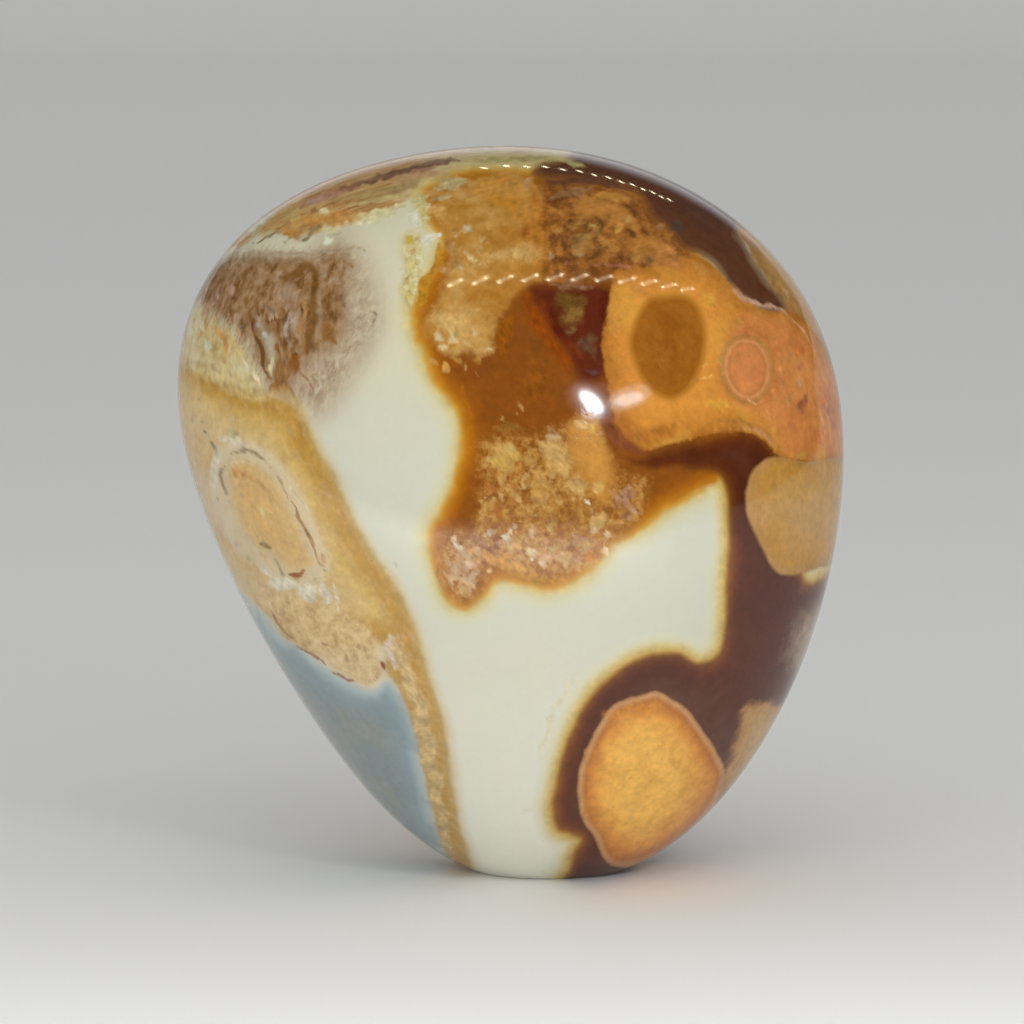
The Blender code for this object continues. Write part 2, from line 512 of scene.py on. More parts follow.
# Below it: a smoky brown patch with upright streaks like wood, feathered to the right.
zone("smoke", [
    (-44.5, 92.4), (-40, 93.2), (-35, 93.4), (-30, 93.6), (-26, 93.8), (-24.4, 92.5), (-25.2, 89),
    (-25, 85), (-25.6, 81.4), (-27.4, 79.2), (-29.8, 78.4), (-31.2, 75.9), (-33, 74), (-35.5, 72.8),
    (-38, 76), (-40.2, 80), (-43, 83), (-46.5, 85.5), (-49, 87), (-49, 91),
])
zone("smoke_haze", [
    (-27, 94.4), (-23.6, 92.5), (-21.8, 88), (-21, 84), (-22.6, 79.5), (-26, 74), (-29, 70.5),
    (-31.5, 71), (-33, 74), (-30, 85),
])
zone("flames", [
    (-51, 84), (-47, 85.8), (-44.4, 84.2), (-42, 82), (-40, 80), (-38.6, 77), (-37, 73.6), (-38.5, 73),
    (-41, 74), (-43.5, 75.6), (-46.5, 77), (-51, 78.5),
])
upright = grain(0.8, 3.0, 0.6, long=5.0, lean=97.0, seed=9, twist=0.3)
wide_upright = grain(2.4, 3.0, 0.5, long=3.5, lean=96.0, seed=10, twist=0.35)
feather = grain(0.9, 4.0, 0.65, long=2.0, lean=80.0, seed=11, twist=0.8)
smoke, _ = shades(
    sum_of(product(upright, 0.4), product(wide_upright, 0.6)),
    (0.37, (0.15, 0.066, 0.018)), (0.45, (0.235, 0.122, 0.044)), (0.51, (0.3, 0.172, 0.08)),
    (0.57, (0.345, 0.215, 0.115)), (0.65, (0.41, 0.285, 0.185)),
)
haze, _ = shades(
    feather,
    (0.36, (0.31, 0.205, 0.12)), (0.5, (0.4, 0.3, 0.19)), (0.64, (0.48, 0.39, 0.26)),
)
colour = mixed(colour, haze, product(spot("smoke_haze", 7.0, 1.8, feather, at=-1.6), 0.92))
flames, _ = shades(
    sum_of(product(wide_upright, 0.7), product(mottle, 0.3)),
    (0.36, (0.46, 0.28, 0.1)), (0.45, (0.52, 0.38, 0.165)), (0.54, (0.56, 0.46, 0.24)),
    (0.64, (0.57, 0.52, 0.34)),
)
SMOKE_DARK = (0.19, 0.088, 0.022)
SMOKE_BROWN = (0.27, 0.145, 0.055)
brush((0.4, 0.31, 0.21), 0.8, [(-42.5, 93), (-36, 93.4), (-30, 93.4), (-26, 93.8)], soft=0.8)
brush((0.31, 0.21, 0.12), 0.6, [(-41, 92), (-36, 92.4), (-31, 92.4)], cover=0.6)
brush((0.47, 0.38, 0.26), 0.5, [(-40, 92.7), (-35, 92.9), (-29, 92.8)], cover=0.6)
brush(SMOKE_DARK, 1.0, [(-35.6, 90), (-33.3, 90.1), (-31.6, 91.2), (-30.2, 91.4), (-29.2, 90.4)],
      cover=0.9, soft=0.9)
brush(SMOKE_DARK, 1.4, [(-29.8, 90.8), (-29.5, 88), (-29.7, 85), (-30.1, 81.5), (-31.2, 78.6)],
      cover=0.9, soft=1.2)
brush((0.2, 0.1, 0.035), 1.5, [(-34, 91.5), (-33.4, 88), (-33.2, 84.6)], [(-38.5, 91.6), (-38.6, 88.6)],
      cover=0.5, soft=1.8)
brush((0.24, 0.135, 0.06), 1.2, [(-42, 92), (-37, 92.4), (-32, 92.2), (-27, 92)], cover=0.5, soft=1.4)
brush((0.135, 0.06, 0.01), 0.9, [(-29.6, 90.2), (-29.4, 87.6)], cover=0.9, soft=1.0)
brush((0.34, 0.18, 0.065), 0.7, [(-31, 87.5), (-31.4, 84), (-31.4, 80.5), (-31.8, 78.4)], cover=0.9)
brush((0.38, 0.26, 0.165), 0.6, [(-28.9, 88.5), (-28.8, 84), (-29.2, 80.4)],
      [(-32.2, 86), (-32.2, 80.6)], cover=0.7)
brush((0.22, 0.105, 0.03), 1.5, [(-28.2, 85), (-27.9, 82.5), (-27.3, 80.8), (-26.4, 80)], cover=0.9,
      soft=1.3)
brush(SMOKE_BROWN, 0.9, [(-26, 88.6), (-26.3, 86.8), (-25.6, 84.8), (-25.9, 82.8)],
      [(-24.9, 92), (-25.8, 90)], cover=0.9, soft=0.8)
brush((0.35, 0.27, 0.14), 0.45,
      [(-27.8, 94.2), (-26.6, 93.4), (-24.6, 94.2), (-22.8, 94), (-21.6, 93.5)])
brush(SMOKE_BROWN, 0.8, [(-24.4, 92.2), (-23.6, 91.5)], cover=0.75)
brush((0.55, 0.45, 0.28), 0.9, [(-24.2, 93.2), (-23.6, 93)])
brush((0.27, 0.145, 0.085), 0.7, [(-43, 90.6), (-43.4, 88), (-43, 86)], [(-44.3, 88), (-44.6, 84.8)],
      cover=0.9, soft=0.8)
brush((0.39, 0.235, 0.15), 1.4, [(-42, 88.5), (-41.5, 86.5)], [(-41.5, 84.6), (-41.3, 83.6)],
      cover=0.75, soft=1.2)
brush((0.36, 0.25, 0.16), 2.2, [(-33.6, 88.5), (-33.2, 86.8)], cover=0.6, soft=1.6)
brush((0.23, 0.145, 0.085), 1.0, [(-37.6, 85.8), (-36.2, 85.2), (-36, 84.4)], cover=0.9, soft=1.0)
brush((0.3, 0.27, 0.16), 0.5, [(-28.4, 92), (-28.3, 90)], cover=0.6)
brush((0.45, 0.35, 0.27), 2.4, [(-24.3, 87.5), (-23.6, 84)], cover=0.45, soft=2.0)
brush((0.35, 0.265, 0.18), 0.5, [(-24.3, 83.6), (-23.5, 81.4)], [(-22.9, 84.3), (-22.4, 82.4)],
      cover=0.75)
brush((0.36, 0.28, 0.2), 0.9, [(-23.4, 80.6), (-22.4, 79.7)], cover=0.75)
brush((0.27, 0.22, 0.14), 0.5, [(-22, 84.4), (-21, 84.7), (-20.3, 83.9), (-20.7, 82.9), (-21.2, 82.2)])
brush((0.47, 0.39, 0.3), 1.3, [(-26.4, 77.8), (-24.2, 77.2)], cover=0.55, soft=1.0)
brush((0.43, 0.32, 0.24), 1.6, [(-28, 77.6), (-29, 76)], cover=0.7, soft=1.2)
brush((0.26, 0.14, 0.07), 0.45, [(-31.6, 75.6), (-30.6, 74.4), (-29.9, 73.1)], cover=0.85)
brush((0.42, 0.32, 0.21), 0.4, [(-33, 74.3), (-32, 72.4), (-31.2, 70.6)],
      [(-31.9, 74.8), (-31, 72.6), (-30, 71)], cover=0.75)
brush((0.45, 0.36, 0.28), 0.7, [(-30.5, 76.4), (-29.2, 74.4), (-28.2, 72.4)], cover=0.6)
brush((0.26, 0.15, 0.05), 0.5, [(-33.5, 72.7), (-32.8, 71.8)], cover=0.9)

# Left of it: tongues of orange and straw that lick up along the rim.
brush((0.5, 0.27, 0.08), 0.9, [(-44, 82.4), (-43.4, 80.4), (-43, 78.8)], cover=0.9, soft=0.8)
brush((0.46, 0.28, 0.14), 0.7, [(-44.5, 84.3), (-44.3, 83)], [(-40.8, 82), (-40.5, 80.4)], cover=0.9,
      soft=0.7)
brush((0.55, 0.4, 0.16), 0.7, [(-42.6, 82), (-42, 80.4), (-41.5, 79)], [(-43.4, 77.1), (-42.6, 76.2)],
      cover=0.9)
brush((0.62, 0.53, 0.34), 0.9, [(-46.5, 84), (-46.1, 81.5)], [(-40, 77.5), (-39, 75.8), (-38.2, 74.6)],
      cover=0.9)
brush((0.54, 0.55, 0.38), 1.5, [(-46, 80.4), (-45.8, 78.8)], soft=1.2)
brush((0.57, 0.46, 0.2), 0.9, [(-41.4, 79.8), (-40.6, 78.2)], cover=0.9)
brush((0.59, 0.53, 0.31), 0.8, [(-42, 77.4), (-40.6, 76), (-39.6, 75)])
brush((0.44, 0.26, 0.16), 1.0, [(-45.5, 86.4), (-46.3, 84)], cover=0.7, soft=1.0)
brush((0.52, 0.36, 0.15), 0.6, [(-43, 75.9), (-41, 74.6), (-39, 73.6)])

# In the smoke: a small pale wedge of quartz with two horns, edged and rooted in dark iron brown.
zone("wedge", [
    (-38.7, 84.6), (-37.6, 84.4), (-37, 83), (-36.6, 81.8), (-35.9, 82), (-35.3, 81.4), (-35.1, 79.6),
    (-35.2, 77.5), (-35.5, 75.6), (-36.1, 74.3), (-36.6, 76), (-37.2, 78.5), (-37.8, 80.7),
    (-38.4, 82.6),
])
wedge, wedge_cover = shades(
    depth_of("wedge", 0.25, crumb),
    (-0.3, (0.22, 0.12, 0.05), 0.0), (0.1, (0.27, 0.17, 0.08), 0.9), (0.6, (0.37, 0.28, 0.17)),
    (1.1, (0.42, 0.36, 0.26)),
)
IRON = (0.17, 0.070, 0.02)
brush((0.41, 0.33, 0.3), 0.7, [(-38.2, 83.3), (-37.8, 81.8)])
brush((0.37, 0.38, 0.34), 1.1, [(-36.7, 81.3), (-36.4, 80.5)], cover=0.85)
brush((0.55, 0.47, 0.27), 0.9, [(-36, 78), (-35.9, 76.4), (-36.1, 75.2)], cover=0.85)
brush(IRON, 0.75, [(-39.1, 84.2), (-38.6, 82), (-37.9, 79.6), (-37.2, 77.2), (-36.6, 75)],
      [(-37.2, 84.6), (-36.6, 82.7), (-36.1, 83.2), (-35.2, 83.5), (-34.8, 82), (-34.8, 80)], cover=0.9)
brush((0.14, 0.065, 0.02), 0.8, [(-38.7, 84.9), (-38.1, 84.8)], cover=0.9)
brush((0.33, 0.17, 0.06), 0.4, [(-39, 79.5), (-38.1, 77.6), (-37.5, 75.8)], cover=0.7)
brush((0.25, 0.125, 0.04), 0.8, [(-34.9, 78), (-34.7, 76.4), (-35.2, 75), (-35.6, 74)], cover=0.9,
      soft=0.8)
brush((0.25, 0.1, 0.02), 0.9, [(-35.5, 80.4), (-35.6, 79.2), (-34.9, 78.9)], cover=0.9)
brush((0.28, 0.115, 0.025), 1.8, [(-36.4, 73.8), (-34.8, 73.2)], cover=0.9, soft=1.1)
brush((0.27, 0.135, 0.045), 1.1, [(-33.8, 75.6), (-34, 73.8), (-33.2, 72.6)],
      [(-34.4, 76.2), (-33.7, 75.2)], soft=1.0)
brush((0.24, 0.09, 0.02), 2.0, [(-32.9, 77.5), (-32.1, 76.3)], cover=0.9, soft=1.4)
brush((0.19, 0.07, 0.01), 0.9, [(-33.2, 78.2), (-32.4, 78)], cover=0.9)
brush((0.33, 0.15, 0.08), 0.8, [(-32.5, 75.6)])
brush((0.36, 0.3, 0.23), 0.9, [(-33.6, 85.4), (-33.7, 82.4), (-33.5, 79.4)], cover=0.65, soft=1.0)
brush((0.43, 0.34, 0.25), 0.6, [(-32.8, 85), (-32.8, 80.4)], cover=0.6, soft=0.8)

# The left flank: an ochre band that comes down the whole stone, tan outside and rich along its edge.
zone("ochre_band", [
    (-36.6, 72.2), (-33.4, 71.4), (-31.4, 69.2), (-29.5, 65), (-27.5, 61.6), (-26, 58.4), (-24.5, 55),
    (-22.8, 51.6), (-21, 48.4), (-19.2, 46.3), (-17.7, 44), (-16.4, 41.6), (-15.2, 38.6), (-13.9, 35),
    (-12.8, 31), (-11.6, 27), (-10.5, 23.6), (-9.7, 19.5), (-9.2, 15), (-8.5, 10.5), (-7.6, 6.5),
    (-6.4, 2.6), (-5.6, -3), (-9.4, -3), (-10.4, 3), (-11.8, 8), (-13.2, 14), (-14.2, 19),
    (-15.4, 23.5), (-17, 27.5), (-18.6, 31), (-20, 35), (-30, 34), (-44, 36), (-60, 50), (-58, 78),
    (-47, 77.2), (-43.4, 75.6), (-40, 73.6),
])
ochre, ochre_cover = shades(
    depth_of("ochre_band", 0.5, ripple),
    (-1.9, (0.6, 0.54, 0.38), 0.0), (-0.7, (0.54, 0.42, 0.2), 0.45), (0.2, (0.45, 0.285, 0.08), 0.95),
    (1.2, (0.44, 0.245, 0.05)), (2.6, (0.475, 0.27, 0.058)), (4.4, (0.56, 0.37, 0.115)),
    (6.4, (0.59, 0.415, 0.175)), (9.0, (0.57, 0.41, 0.195)), (13.0, (0.55, 0.355, 0.135)),
    (16.0, (0.56, 0.44, 0.26)), (19.0, (0.46, 0.26, 0.08)), (24.0, (0.55, 0.4, 0.2)),
)
tan = grain(1.3, 3.0, 0.6, long=3.0, lean=-58.0, seed=12)
ochre = mixed(ochre, (0.57, 0.43, 0.24), product(from_to(tan, 0.48, 0.66), 0.22))
ochre = mixed(ochre, (0.45, 0.29, 0.095), product(from_to(cloud, 0.52, 0.7), 0.35))
colour = mixed(colour, ochre, ochre_cover)
colour = mixed(colour, flames, spot("flames", 3.6, 2.0, wide_upright))
colour = mixed(colour, smoke, spot("smoke", 3.6, 2.0, feather))
colour = mixed(colour, wedge, wedge_cover)
brush((0.56, 0.46, 0.24), 2.6, [(-48, 76.6), (-44, 75.4), (-40.4, 73.6), (-37.6, 71.9)], soft=3.0)
brush((0.5, 0.37, 0.16), 1.8, [(-47, 75), (-43, 74.2), (-39.5, 72.6)], cover=0.5, soft=2.4)
brush((0.45, 0.31, 0.14), 2.0, [(-38.4, 73.2), (-35.4, 72.5), (-32.8, 71.2), (-31.4, 69.6)], cover=0.7,
      soft=2.0)
brush((0.48, 0.31, 0.095), 2.2, [(-43, 73.4), (-40, 72.3), (-37, 70.8)], cover=0.55, soft=2.0)
brush((0.42, 0.23, 0.06), 1.4, [(-37, 70.6), (-35.2, 70.2)], cover=0.7, soft=1.4)
brush((0.42, 0.2, 0.055), 1.2, [(-32.5, 68.6), (-31.4, 65.6)], [(-25.8, 54.2), (-25.2, 53.4)],
      cover=0.6, soft=1.3)
brush((0.5, 0.28, 0.09), 1.4, [(-28.4, 59.6), (-27.6, 58.4)], [(-19.4, 43), (-18.2, 40.6)],
      [(-16.6, 37.6), (-15.6, 34)], cover=0.6, soft=1.3)
brush((0.23, 0.17, 0.08), 0.8, [(-46, 66.9), (-45.7, 66.3)], [(-45, 65.3), (-44.7, 64.1)],
      [(-41.3, 66.6), (-40.9, 65.9)], cover=0.9)
brush((0.34, 0.27, 0.14), 0.5, [(-46.6, 71.3)], [(-48.2, 69.2), (-48.1, 68.2)], [(-46.8, 68.6)],
      [(-45, 62.6), (-44.9, 61.8)], [(-44.6, 57), (-44.4, 56)], cover=0.75)
brush((0.52, 0.41, 0.27), 1.8, [(-47.8, 66), (-47.4, 60), (-46, 54), (-43.4, 48)], cover=0.5, soft=1.8)
brush((0.53, 0.39, 0.21), 1.6, [(-42.8, 69), (-41.4, 68.5)], cover=0.6, soft=1.2)
brush((0.46, 0.41, 0.19), 1.3, [(-43, 67), (-41.6, 66.9)], [(-39.2, 48.6), (-38.8, 46.6)], cover=0.6,
      soft=1.2)
brush((0.53, 0.37, 0.165), 2.4,
      [(-17.6, 36), (-16, 31), (-13.8, 25), (-12.6, 19), (-12.2, 17), (-10.9, 11), (-9.2, 3)],
      cover=1.0, soft=2.4)
brush((0.42, 0.24, 0.09), 0.7, [(-11.9, 28), (-10.9, 24.4), (-9.9, 19), (-9.4, 14)],
      [(-9.2, 13), (-8.3, 8), (-7.2, 3)], cover=0.5, soft=1.2)
brush((0.42, 0.37, 0.24), 0.7, [(-18.2, 47.6), (-17.4, 47.2), (-17.6, 46.4)], cover=0.7, soft=0.8)

# On the flank: an agate eye, nested ovals that lean to the right, whitish, grey, rust and beige.
zone("eye", [
    (-43.4, 60.6), (-43, 62.4), (-41.6, 63.6), (-39.4, 63.4), (-37.2, 62.2), (-35.4, 60.4), (-33.8, 58),
    (-32.4, 55.2), (-31.1, 52.6), (-30, 49.8), (-29, 47.2), (-30, 45.7), (-32, 45.1), (-34, 45.3),
    (-35.8, 47.2), (-38.2, 48.4), (-40.6, 50.6), (-42.4, 54.4), (-43.2, 57.6),
])
colour = lay(
    colour, "eye", 0.45, mottle,
    (-2.2, (0.6, 0.54, 0.4), 0.0), (-1.2, (0.61, 0.53, 0.38), 0.55), (-0.3, (0.58, 0.47, 0.3), 0.75),
    (0.5, (0.55, 0.44, 0.27), 0.85), (1.5, (0.58, 0.385, 0.155), 0.9), (4.0, (0.58, 0.35, 0.12), 0.9),
)
MILK = (0.59, 0.535, 0.40)
brush(MILK, 1.2, [(-43.6, 65.5), (-41.4, 65.3), (-40.2, 64.6)],
      [(-44.4, 64.2), (-44.6, 61.4), (-44.6, 58.8)], cover=0.85, soft=1.7)
brush((0.56, 0.45, 0.28), 0.7, [(-42.9, 60.2), (-42.2, 62), (-40.4, 62.6), (-38.4, 62.2)], cover=0.7)
brush((0.31, 0.23, 0.13), 0.6,
      [(-42.6, 63.1), (-41.4, 63.8), (-39.6, 63.7), (-38, 63.2), (-36.9, 62.5)],
      [(-43.4, 61.8), (-43.4, 59.5), (-43.2, 58)], cover=0.85)
brush((0.33, 0.27, 0.16), 0.7, [(-43.3, 58.3), (-43.1, 57.5)], [(-36.5, 61.5), (-36, 61.3)])
brush((0.4, 0.34, 0.21), 0.6, [(-42.7, 56.9), (-42.5, 56)], [(-41, 57.6), (-40.9, 57)], cover=0.7)
brush((0.57, 0.3, 0.1), 1.3, [(-41.6, 61.2), (-40.6, 60.3), (-39.2, 59.9)], cover=0.9, soft=1.1)
brush((0.55, 0.32, 0.11), 0.8, [(-39.8, 60.8), (-38.2, 59.4), (-37, 58), (-36, 56.8)], cover=0.85,
      soft=0.9)
brush((0.6, 0.385, 0.14), 1.1, [(-36.8, 57.4), (-35.4, 55.6)], cover=0.7, soft=1.0)
brush((0.46, 0.28, 0.09), 0.6, [(-38.6, 59.3), (-37.4, 58.6)], cover=0.7)
brush((0.57, 0.47, 0.28), 0.6, [(-34.6, 60.6), (-32.8, 58), (-31.2, 55.4), (-30, 52.8)], cover=0.75)
brush((0.37, 0.28, 0.15), 0.6, [(-35.4, 60.2), (-34.4, 58.8), (-33.6, 57.4)])
brush((0.32, 0.19, 0.075), 0.45, [(-33.9, 57.1), (-32.8, 55.6), (-31.9, 54.2), (-31.2, 52.4),
       (-30.5, 51), (-30, 49.8), (-29.3, 48.2), (-28.8, 47.2)], cover=0.95, soft=0.5)
brush((0.57, 0.33, 0.18), 1.1, [(-28.5, 48.6), (-27.8, 47.4)], soft=0.9)
brush((0.36, 0.23, 0.09), 0.5, [(-28.9, 47.1), (-28, 46.5)], [(-28.3, 46), (-28.2, 45.6)], cover=0.9)
brush((0.55, 0.43, 0.2), 2.0, [(-38, 56), (-36, 53)], cover=0.5, soft=1.6)
brush((0.46, 0.32, 0.15), 0.5, [(-40.2, 56), (-39.9, 54.6)], [(-41.5, 55.6), (-41.4, 55)], cover=0.6)
brush((0.28, 0.18, 0.06), 0.95, [(-37.9, 50.2), (-37, 49.8), (-36.1, 49.2), (-35.6, 49)], cover=0.95,
      soft=0.5)
brush((0.42, 0.32, 0.15), 0.5, [(-37.7, 51), (-37.1, 50.5)], cover=0.7)
brush((0.56, 0.38, 0.2), 1.1, [(-37.6, 48.5), (-36.2, 47.4)], [(-32.6, 44.5), (-31.8, 44.4)], cover=0.7,
      soft=0.9)
brush((0.34, 0.26, 0.15), 0.4, [(-35.6, 47.4), (-34.9, 46.4), (-34.4, 45.4), (-33.8, 45.1)], cover=0.85)
brush((0.3, 0.1, 0.03), 1.0, [(-33.6, 45.7), (-32.4, 45.5), (-31.2, 46)], cover=0.95, soft=0.7)
brush((0.32, 0.13, 0.045), 0.5, [(-32.1, 45.8), (-30.9, 45.8)], cover=0.9)
brush((0.57, 0.47, 0.22), 0.8, [(-30.6, 44.7), (-27.9, 44.7)], cover=0.7)
brush(MILK, 2.4, [(-36, 45), (-34.6, 43.8), (-32.6, 43.6)], [(-31.8, 43), (-29.6, 42.2)], cover=0.85,
      soft=1.5)
brush((0.6, 0.54, 0.45), 1.5, [(-38, 46.4), (-36.8, 45.6)], [(-28.4, 43.4), (-27.4, 41.8)], cover=0.7,
      soft=1.3)
brush((0.58, 0.53, 0.39), 0.9, [(-29, 41.3), (-27, 41.2)], [(-26.6, 44), (-26.2, 41.6), (-26, 38.6)],
      cover=0.6)
brush((0.42, 0.37, 0.24), 0.45, [(-29.8, 45), (-29.3, 43.5)])
brush((0.5, 0.41, 0.3), 1.0, [(-28.5, 44.2), (-28.2, 42.4)])
brush((0.52, 0.36, 0.22), 1.4, [(-41.5, 50.5), (-41.2, 48)], cover=0.6, soft=1.4)
brush((0.57, 0.38, 0.21), 1.4, [(-37.4, 43.8), (-36.2, 42.4)], cover=0.75, soft=1.0)
brush((0.45, 0.27, 0.14), 0.6, [(-36.5, 41.4), (-35.6, 40.4)], cover=0.7)
brush((0.54, 0.32, 0.13), 1.4, [(-34, 39), (-32.8, 37.7)], cover=0.7, soft=1.2)

# Lower left: blue-grey chalcedony, smoky in its middle and pale blue along the ochre band.
zone("chalcedony", [
    (-42, 42.6), (-39, 40.8), (-36.6, 38.6), (-34.6, 36), (-32, 34.2), (-29, 32), (-26, 30),
    (-23, 28.4), (-20.6, 28), (-18.6, 29.4), (-17.2, 27.4), (-15.8, 24.6), (-14.6, 21), (-13.8, 17),
    (-13, 13), (-11.9, 8.5), (-10.8, 4.6), (-9.4, 1.4), (-8.8, -4), (-30, -4), (-60, 20), (-56, 44),
])
blue, blue_cover = shades(
    depth_of("chalcedony", 0.35, mottle),
    (-0.7, (0.52, 0.48, 0.41), 0.0), (-0.1, (0.45, 0.46, 0.42), 0.85), (0.7, (0.345, 0.42, 0.425)),
    (1.8, (0.25, 0.32, 0.34)), (3.2, (0.24, 0.29, 0.295)), (5.0, (0.25, 0.28, 0.26)),
    (9.0, (0.28, 0.285, 0.25)), (12.0, (0.36, 0.375, 0.34)), (15.0, (0.25, 0.29, 0.285)),
    (20.0, (0.33, 0.36, 0.34)),
)
blue = mixed(blue, (0.20, 0.265, 0.285), product(from_to(cloud, 0.46, 0.62), 0.55))
colour = mixed(colour, blue, blue_cover)

# Over its top edge: a leaf of beige jasper with a rough red-brown rind.
zone("leaf", [
    (-38.8, 41.6), (-36.6, 39.8), (-34.8, 37.6), (-33.4, 35.8), (-31.2, 34.4), (-28.8, 32.7),
    (-27, 31.2), (-25, 30), (-23.2, 28.9), (-21.4, 28.4), (-20.2, 29.2), (-19.4, 30.4), (-19.8, 33),
    (-20.6, 35.6), (-22.4, 38), (-25, 39.8), (-28, 41.2), (-32, 42), (-36, 42.8),
])
leaf, _ = shades(
    sum_of(product(mottle, 0.5), product(crumb, 0.5)),
    (0.38, (0.5, 0.32, 0.14)), (0.46, (0.56, 0.38, 0.17)), (0.53, (0.6, 0.42, 0.2)),
    (0.64, (0.62, 0.47, 0.26)),
)
colour = mixed(colour, leaf, product(spot("leaf", 1.6, 0.8, crumb), 0.9))
brush((0.29, 0.16, 0.085), 0.55, [(-36.4, 40.2), (-35.4, 38.8), (-34.2, 37), (-33, 35.8)],
      [(-32.4, 35), (-29.7, 33), (-27.8, 31.6)], [(-27, 31.2), (-25, 29.8), (-23.4, 28.8)],
      [(-20.6, 29.2), (-19.8, 30.6)], cover=0.9, soft=0.7)
brush((0.27, 0.075, 0.035), 0.9, [(-19.7, 32.2), (-19.6, 31.2)], cover=0.9, soft=0.7)
brush((0.34, 0.2, 0.09), 0.6, [(-25.4, 33.6), (-24.6, 32.2)], [(-23.2, 35), (-22.6, 33.8)],
      [(-21.8, 31.6)], [(-28.4, 35.2), (-27.6, 34.6)], cover=0.75)
brush((0.57, 0.46, 0.36), 1.4, [(-18.6, 36.4), (-18.2, 33.6), (-17.8, 31.4)], cover=0.7, soft=1.2)

# The middle: translucent caramel agate, bordered by a glowing amber seam that pales into the cream.
zone("caramel", [
    (-12.6, 103.4), (-13.4, 101), (-12.6, 98.6), (-11.2, 97), (-10.2, 95), (-11.3, 92.4), (-12.6, 89.6),
    (-14.2, 86.8), (-15.2, 84.6), (-14.6, 82), (-13.6, 79.6), (-12.5, 77), (-11.3, 74.4), (-9.8, 72),
    (-8.4, 69.6), (-7.5, 66.6), (-7.7, 63.6), (-8.5, 60), (-9.4, 57.2), (-10.8, 54.6), (-12.3, 52),
    (-12.3, 49), (-11.4, 46), (-10.4, 43), (-8.8, 40.9), (-6.5, 40.3), (-4.8, 41.8), (-3.2, 43.9),
    (-1, 44.6), (2, 43.9), (5, 43.2), (8, 43.8), (10.8, 45.4), (12.8, 47.3), (14.6, 49.4), (17.5, 51.4),
    (20.5, 53), (23.4, 55.2), (26.4, 56.8), (29.4, 58.4), (31.6, 59.6), (34, 66), (34, 80), (26, 96),
    (16, 105.6), (4, 106), (-4, 106), (-9, 105),
])
border = depth_of("caramel", 0.45, crumb)
border = sum_of(border, product(sum_of(ripple, -0.5), 2.2))
caramel, caramel_cover = shades(
    border,
    (-4.2, (0.58, 0.57, 0.4), 0.0), (-2.2, (0.58, 0.54, 0.32), 0.5), (-0.8, (0.575, 0.445, 0.16), 0.8),
    (0.0, (0.52, 0.28, 0.04)), (0.7, (0.435, 0.165, 0.011)), (1.6, (0.34, 0.108, 0.006)),
    (2.8, (0.25, 0.074, 0.006)), (5.0, (0.215, 0.062, 0.007)),
)
DEEP_CARAMEL = (0.20, 0.060, 0.008)
deep = product(from_to(cloud, 0.5, 0.68), from_to(border, 3.0, 6.0))
caramel = mixed(caramel, DEEP_CARAMEL, deep)
colour = mixed(colour, caramel, caramel_cover)

# Its upper left is clouded to tan, with pale sugary spots.
zone("tan_cloud", [
    (-12.2, 102.8), (-12.4, 100), (-11, 97.6), (-9.4, 95), (-9.8, 92), (-10.4, 89), (-12, 86),
    (-13.4, 84.2), (-13, 81.6), (-11.8, 79.6), (-9.5, 78.4), (-6.5, 78.4), (-4.6, 78.6), (-3, 79.2),
    (-2.6, 81.6), (-1.8, 84), (0.2, 86.6), (2.4, 88.6), (4.8, 90), (5.2, 94), (4.4, 95.6), (1.4, 96.2),
    (3.2, 99), (4.4, 103), (0, 105.6), (-4, 105.2), (-8, 103.8),
])
tan_cloud, _ = shades(
    sum_of(product(cloud, 0.6), product(mottle, 0.4)),
    (0.38, (0.38, 0.16, 0.02)), (0.47, (0.42, 0.2, 0.036)), (0.54, (0.46, 0.245, 0.06)),
    (0.64, (0.5, 0.3, 0.1)),
)
colour = mixed(colour, tan_cloud, spot("tan_cloud", 2.0, 1.4, mottle))
SEAM = (0.43, 0.195, 0.02)
brush((0.44, 0.185, 0.022), 5.0, [(-5, 103.4), (-1, 102), (1.5, 99.4)], cover=0.75, soft=4.0)
brush((0.41, 0.155, 0.02), 2.6, [(3, 104.6), (3.6, 100), (3.4, 96), (4.2, 91.4)], cover=0.75, soft=2.0)
brush((0.52, 0.315, 0.1), 3.4, [(-11.6, 85.4), (-9, 82.4), (-5.4, 82.2)], cover=0.6, soft=3.0)
brush((0.53, 0.34, 0.12), 2.4, [(-6, 91.6), (-1.6, 93.2), (2.2, 92.4)], cover=0.5, soft=2.4)
brush(SEAM, 1.7, [(-10.6, 94.5), (-11.6, 91.4), (-13.2, 88.2), (-14.5, 85.4)], cover=0.9, soft=0.9)
brush((0.38, 0.2, 0.012), 0.8, [(-13, 88), (-14.1, 86)], soft=0.7)
brush((0.36, 0.18, 0.05), 1.8, [(-9.6, 95.6), (-8.7, 93.2), (-9.3, 91.2)], cover=0.7, soft=1.2)
brush((0.3, 0.16, 0.055), 0.7, [(-10, 90.8)], [(-9.6, 97.4), (-8.3, 96.5)], [(-9, 92.4), (-8.4, 92.6)],
      cover=0.85)
brush((0.5, 0.27, 0.11), 1.0, [(-8.5, 94.5)], [(-10.7, 91.5), (-10.3, 91.3)], [(-8.3, 96)])
brush((0.6, 0.57, 0.43), 2.4, [(-15.2, 98.3), (-14.6, 99.2)], [(-12.5, 96.2), (-12.3, 95.2)], soft=1.3)
brush((0.5, 0.52, 0.46), 0.9, [(-12.4, 95.6)], cover=0.7)
brush((0.57, 0.53, 0.38), 1.1, [(-11.1, 96.9), (-10.8, 95.9)])
brush((0.5, 0.41, 0.26), 1.3, [(-7.6, 97.9), (-6.5, 97)], cover=0.75, soft=1.0)
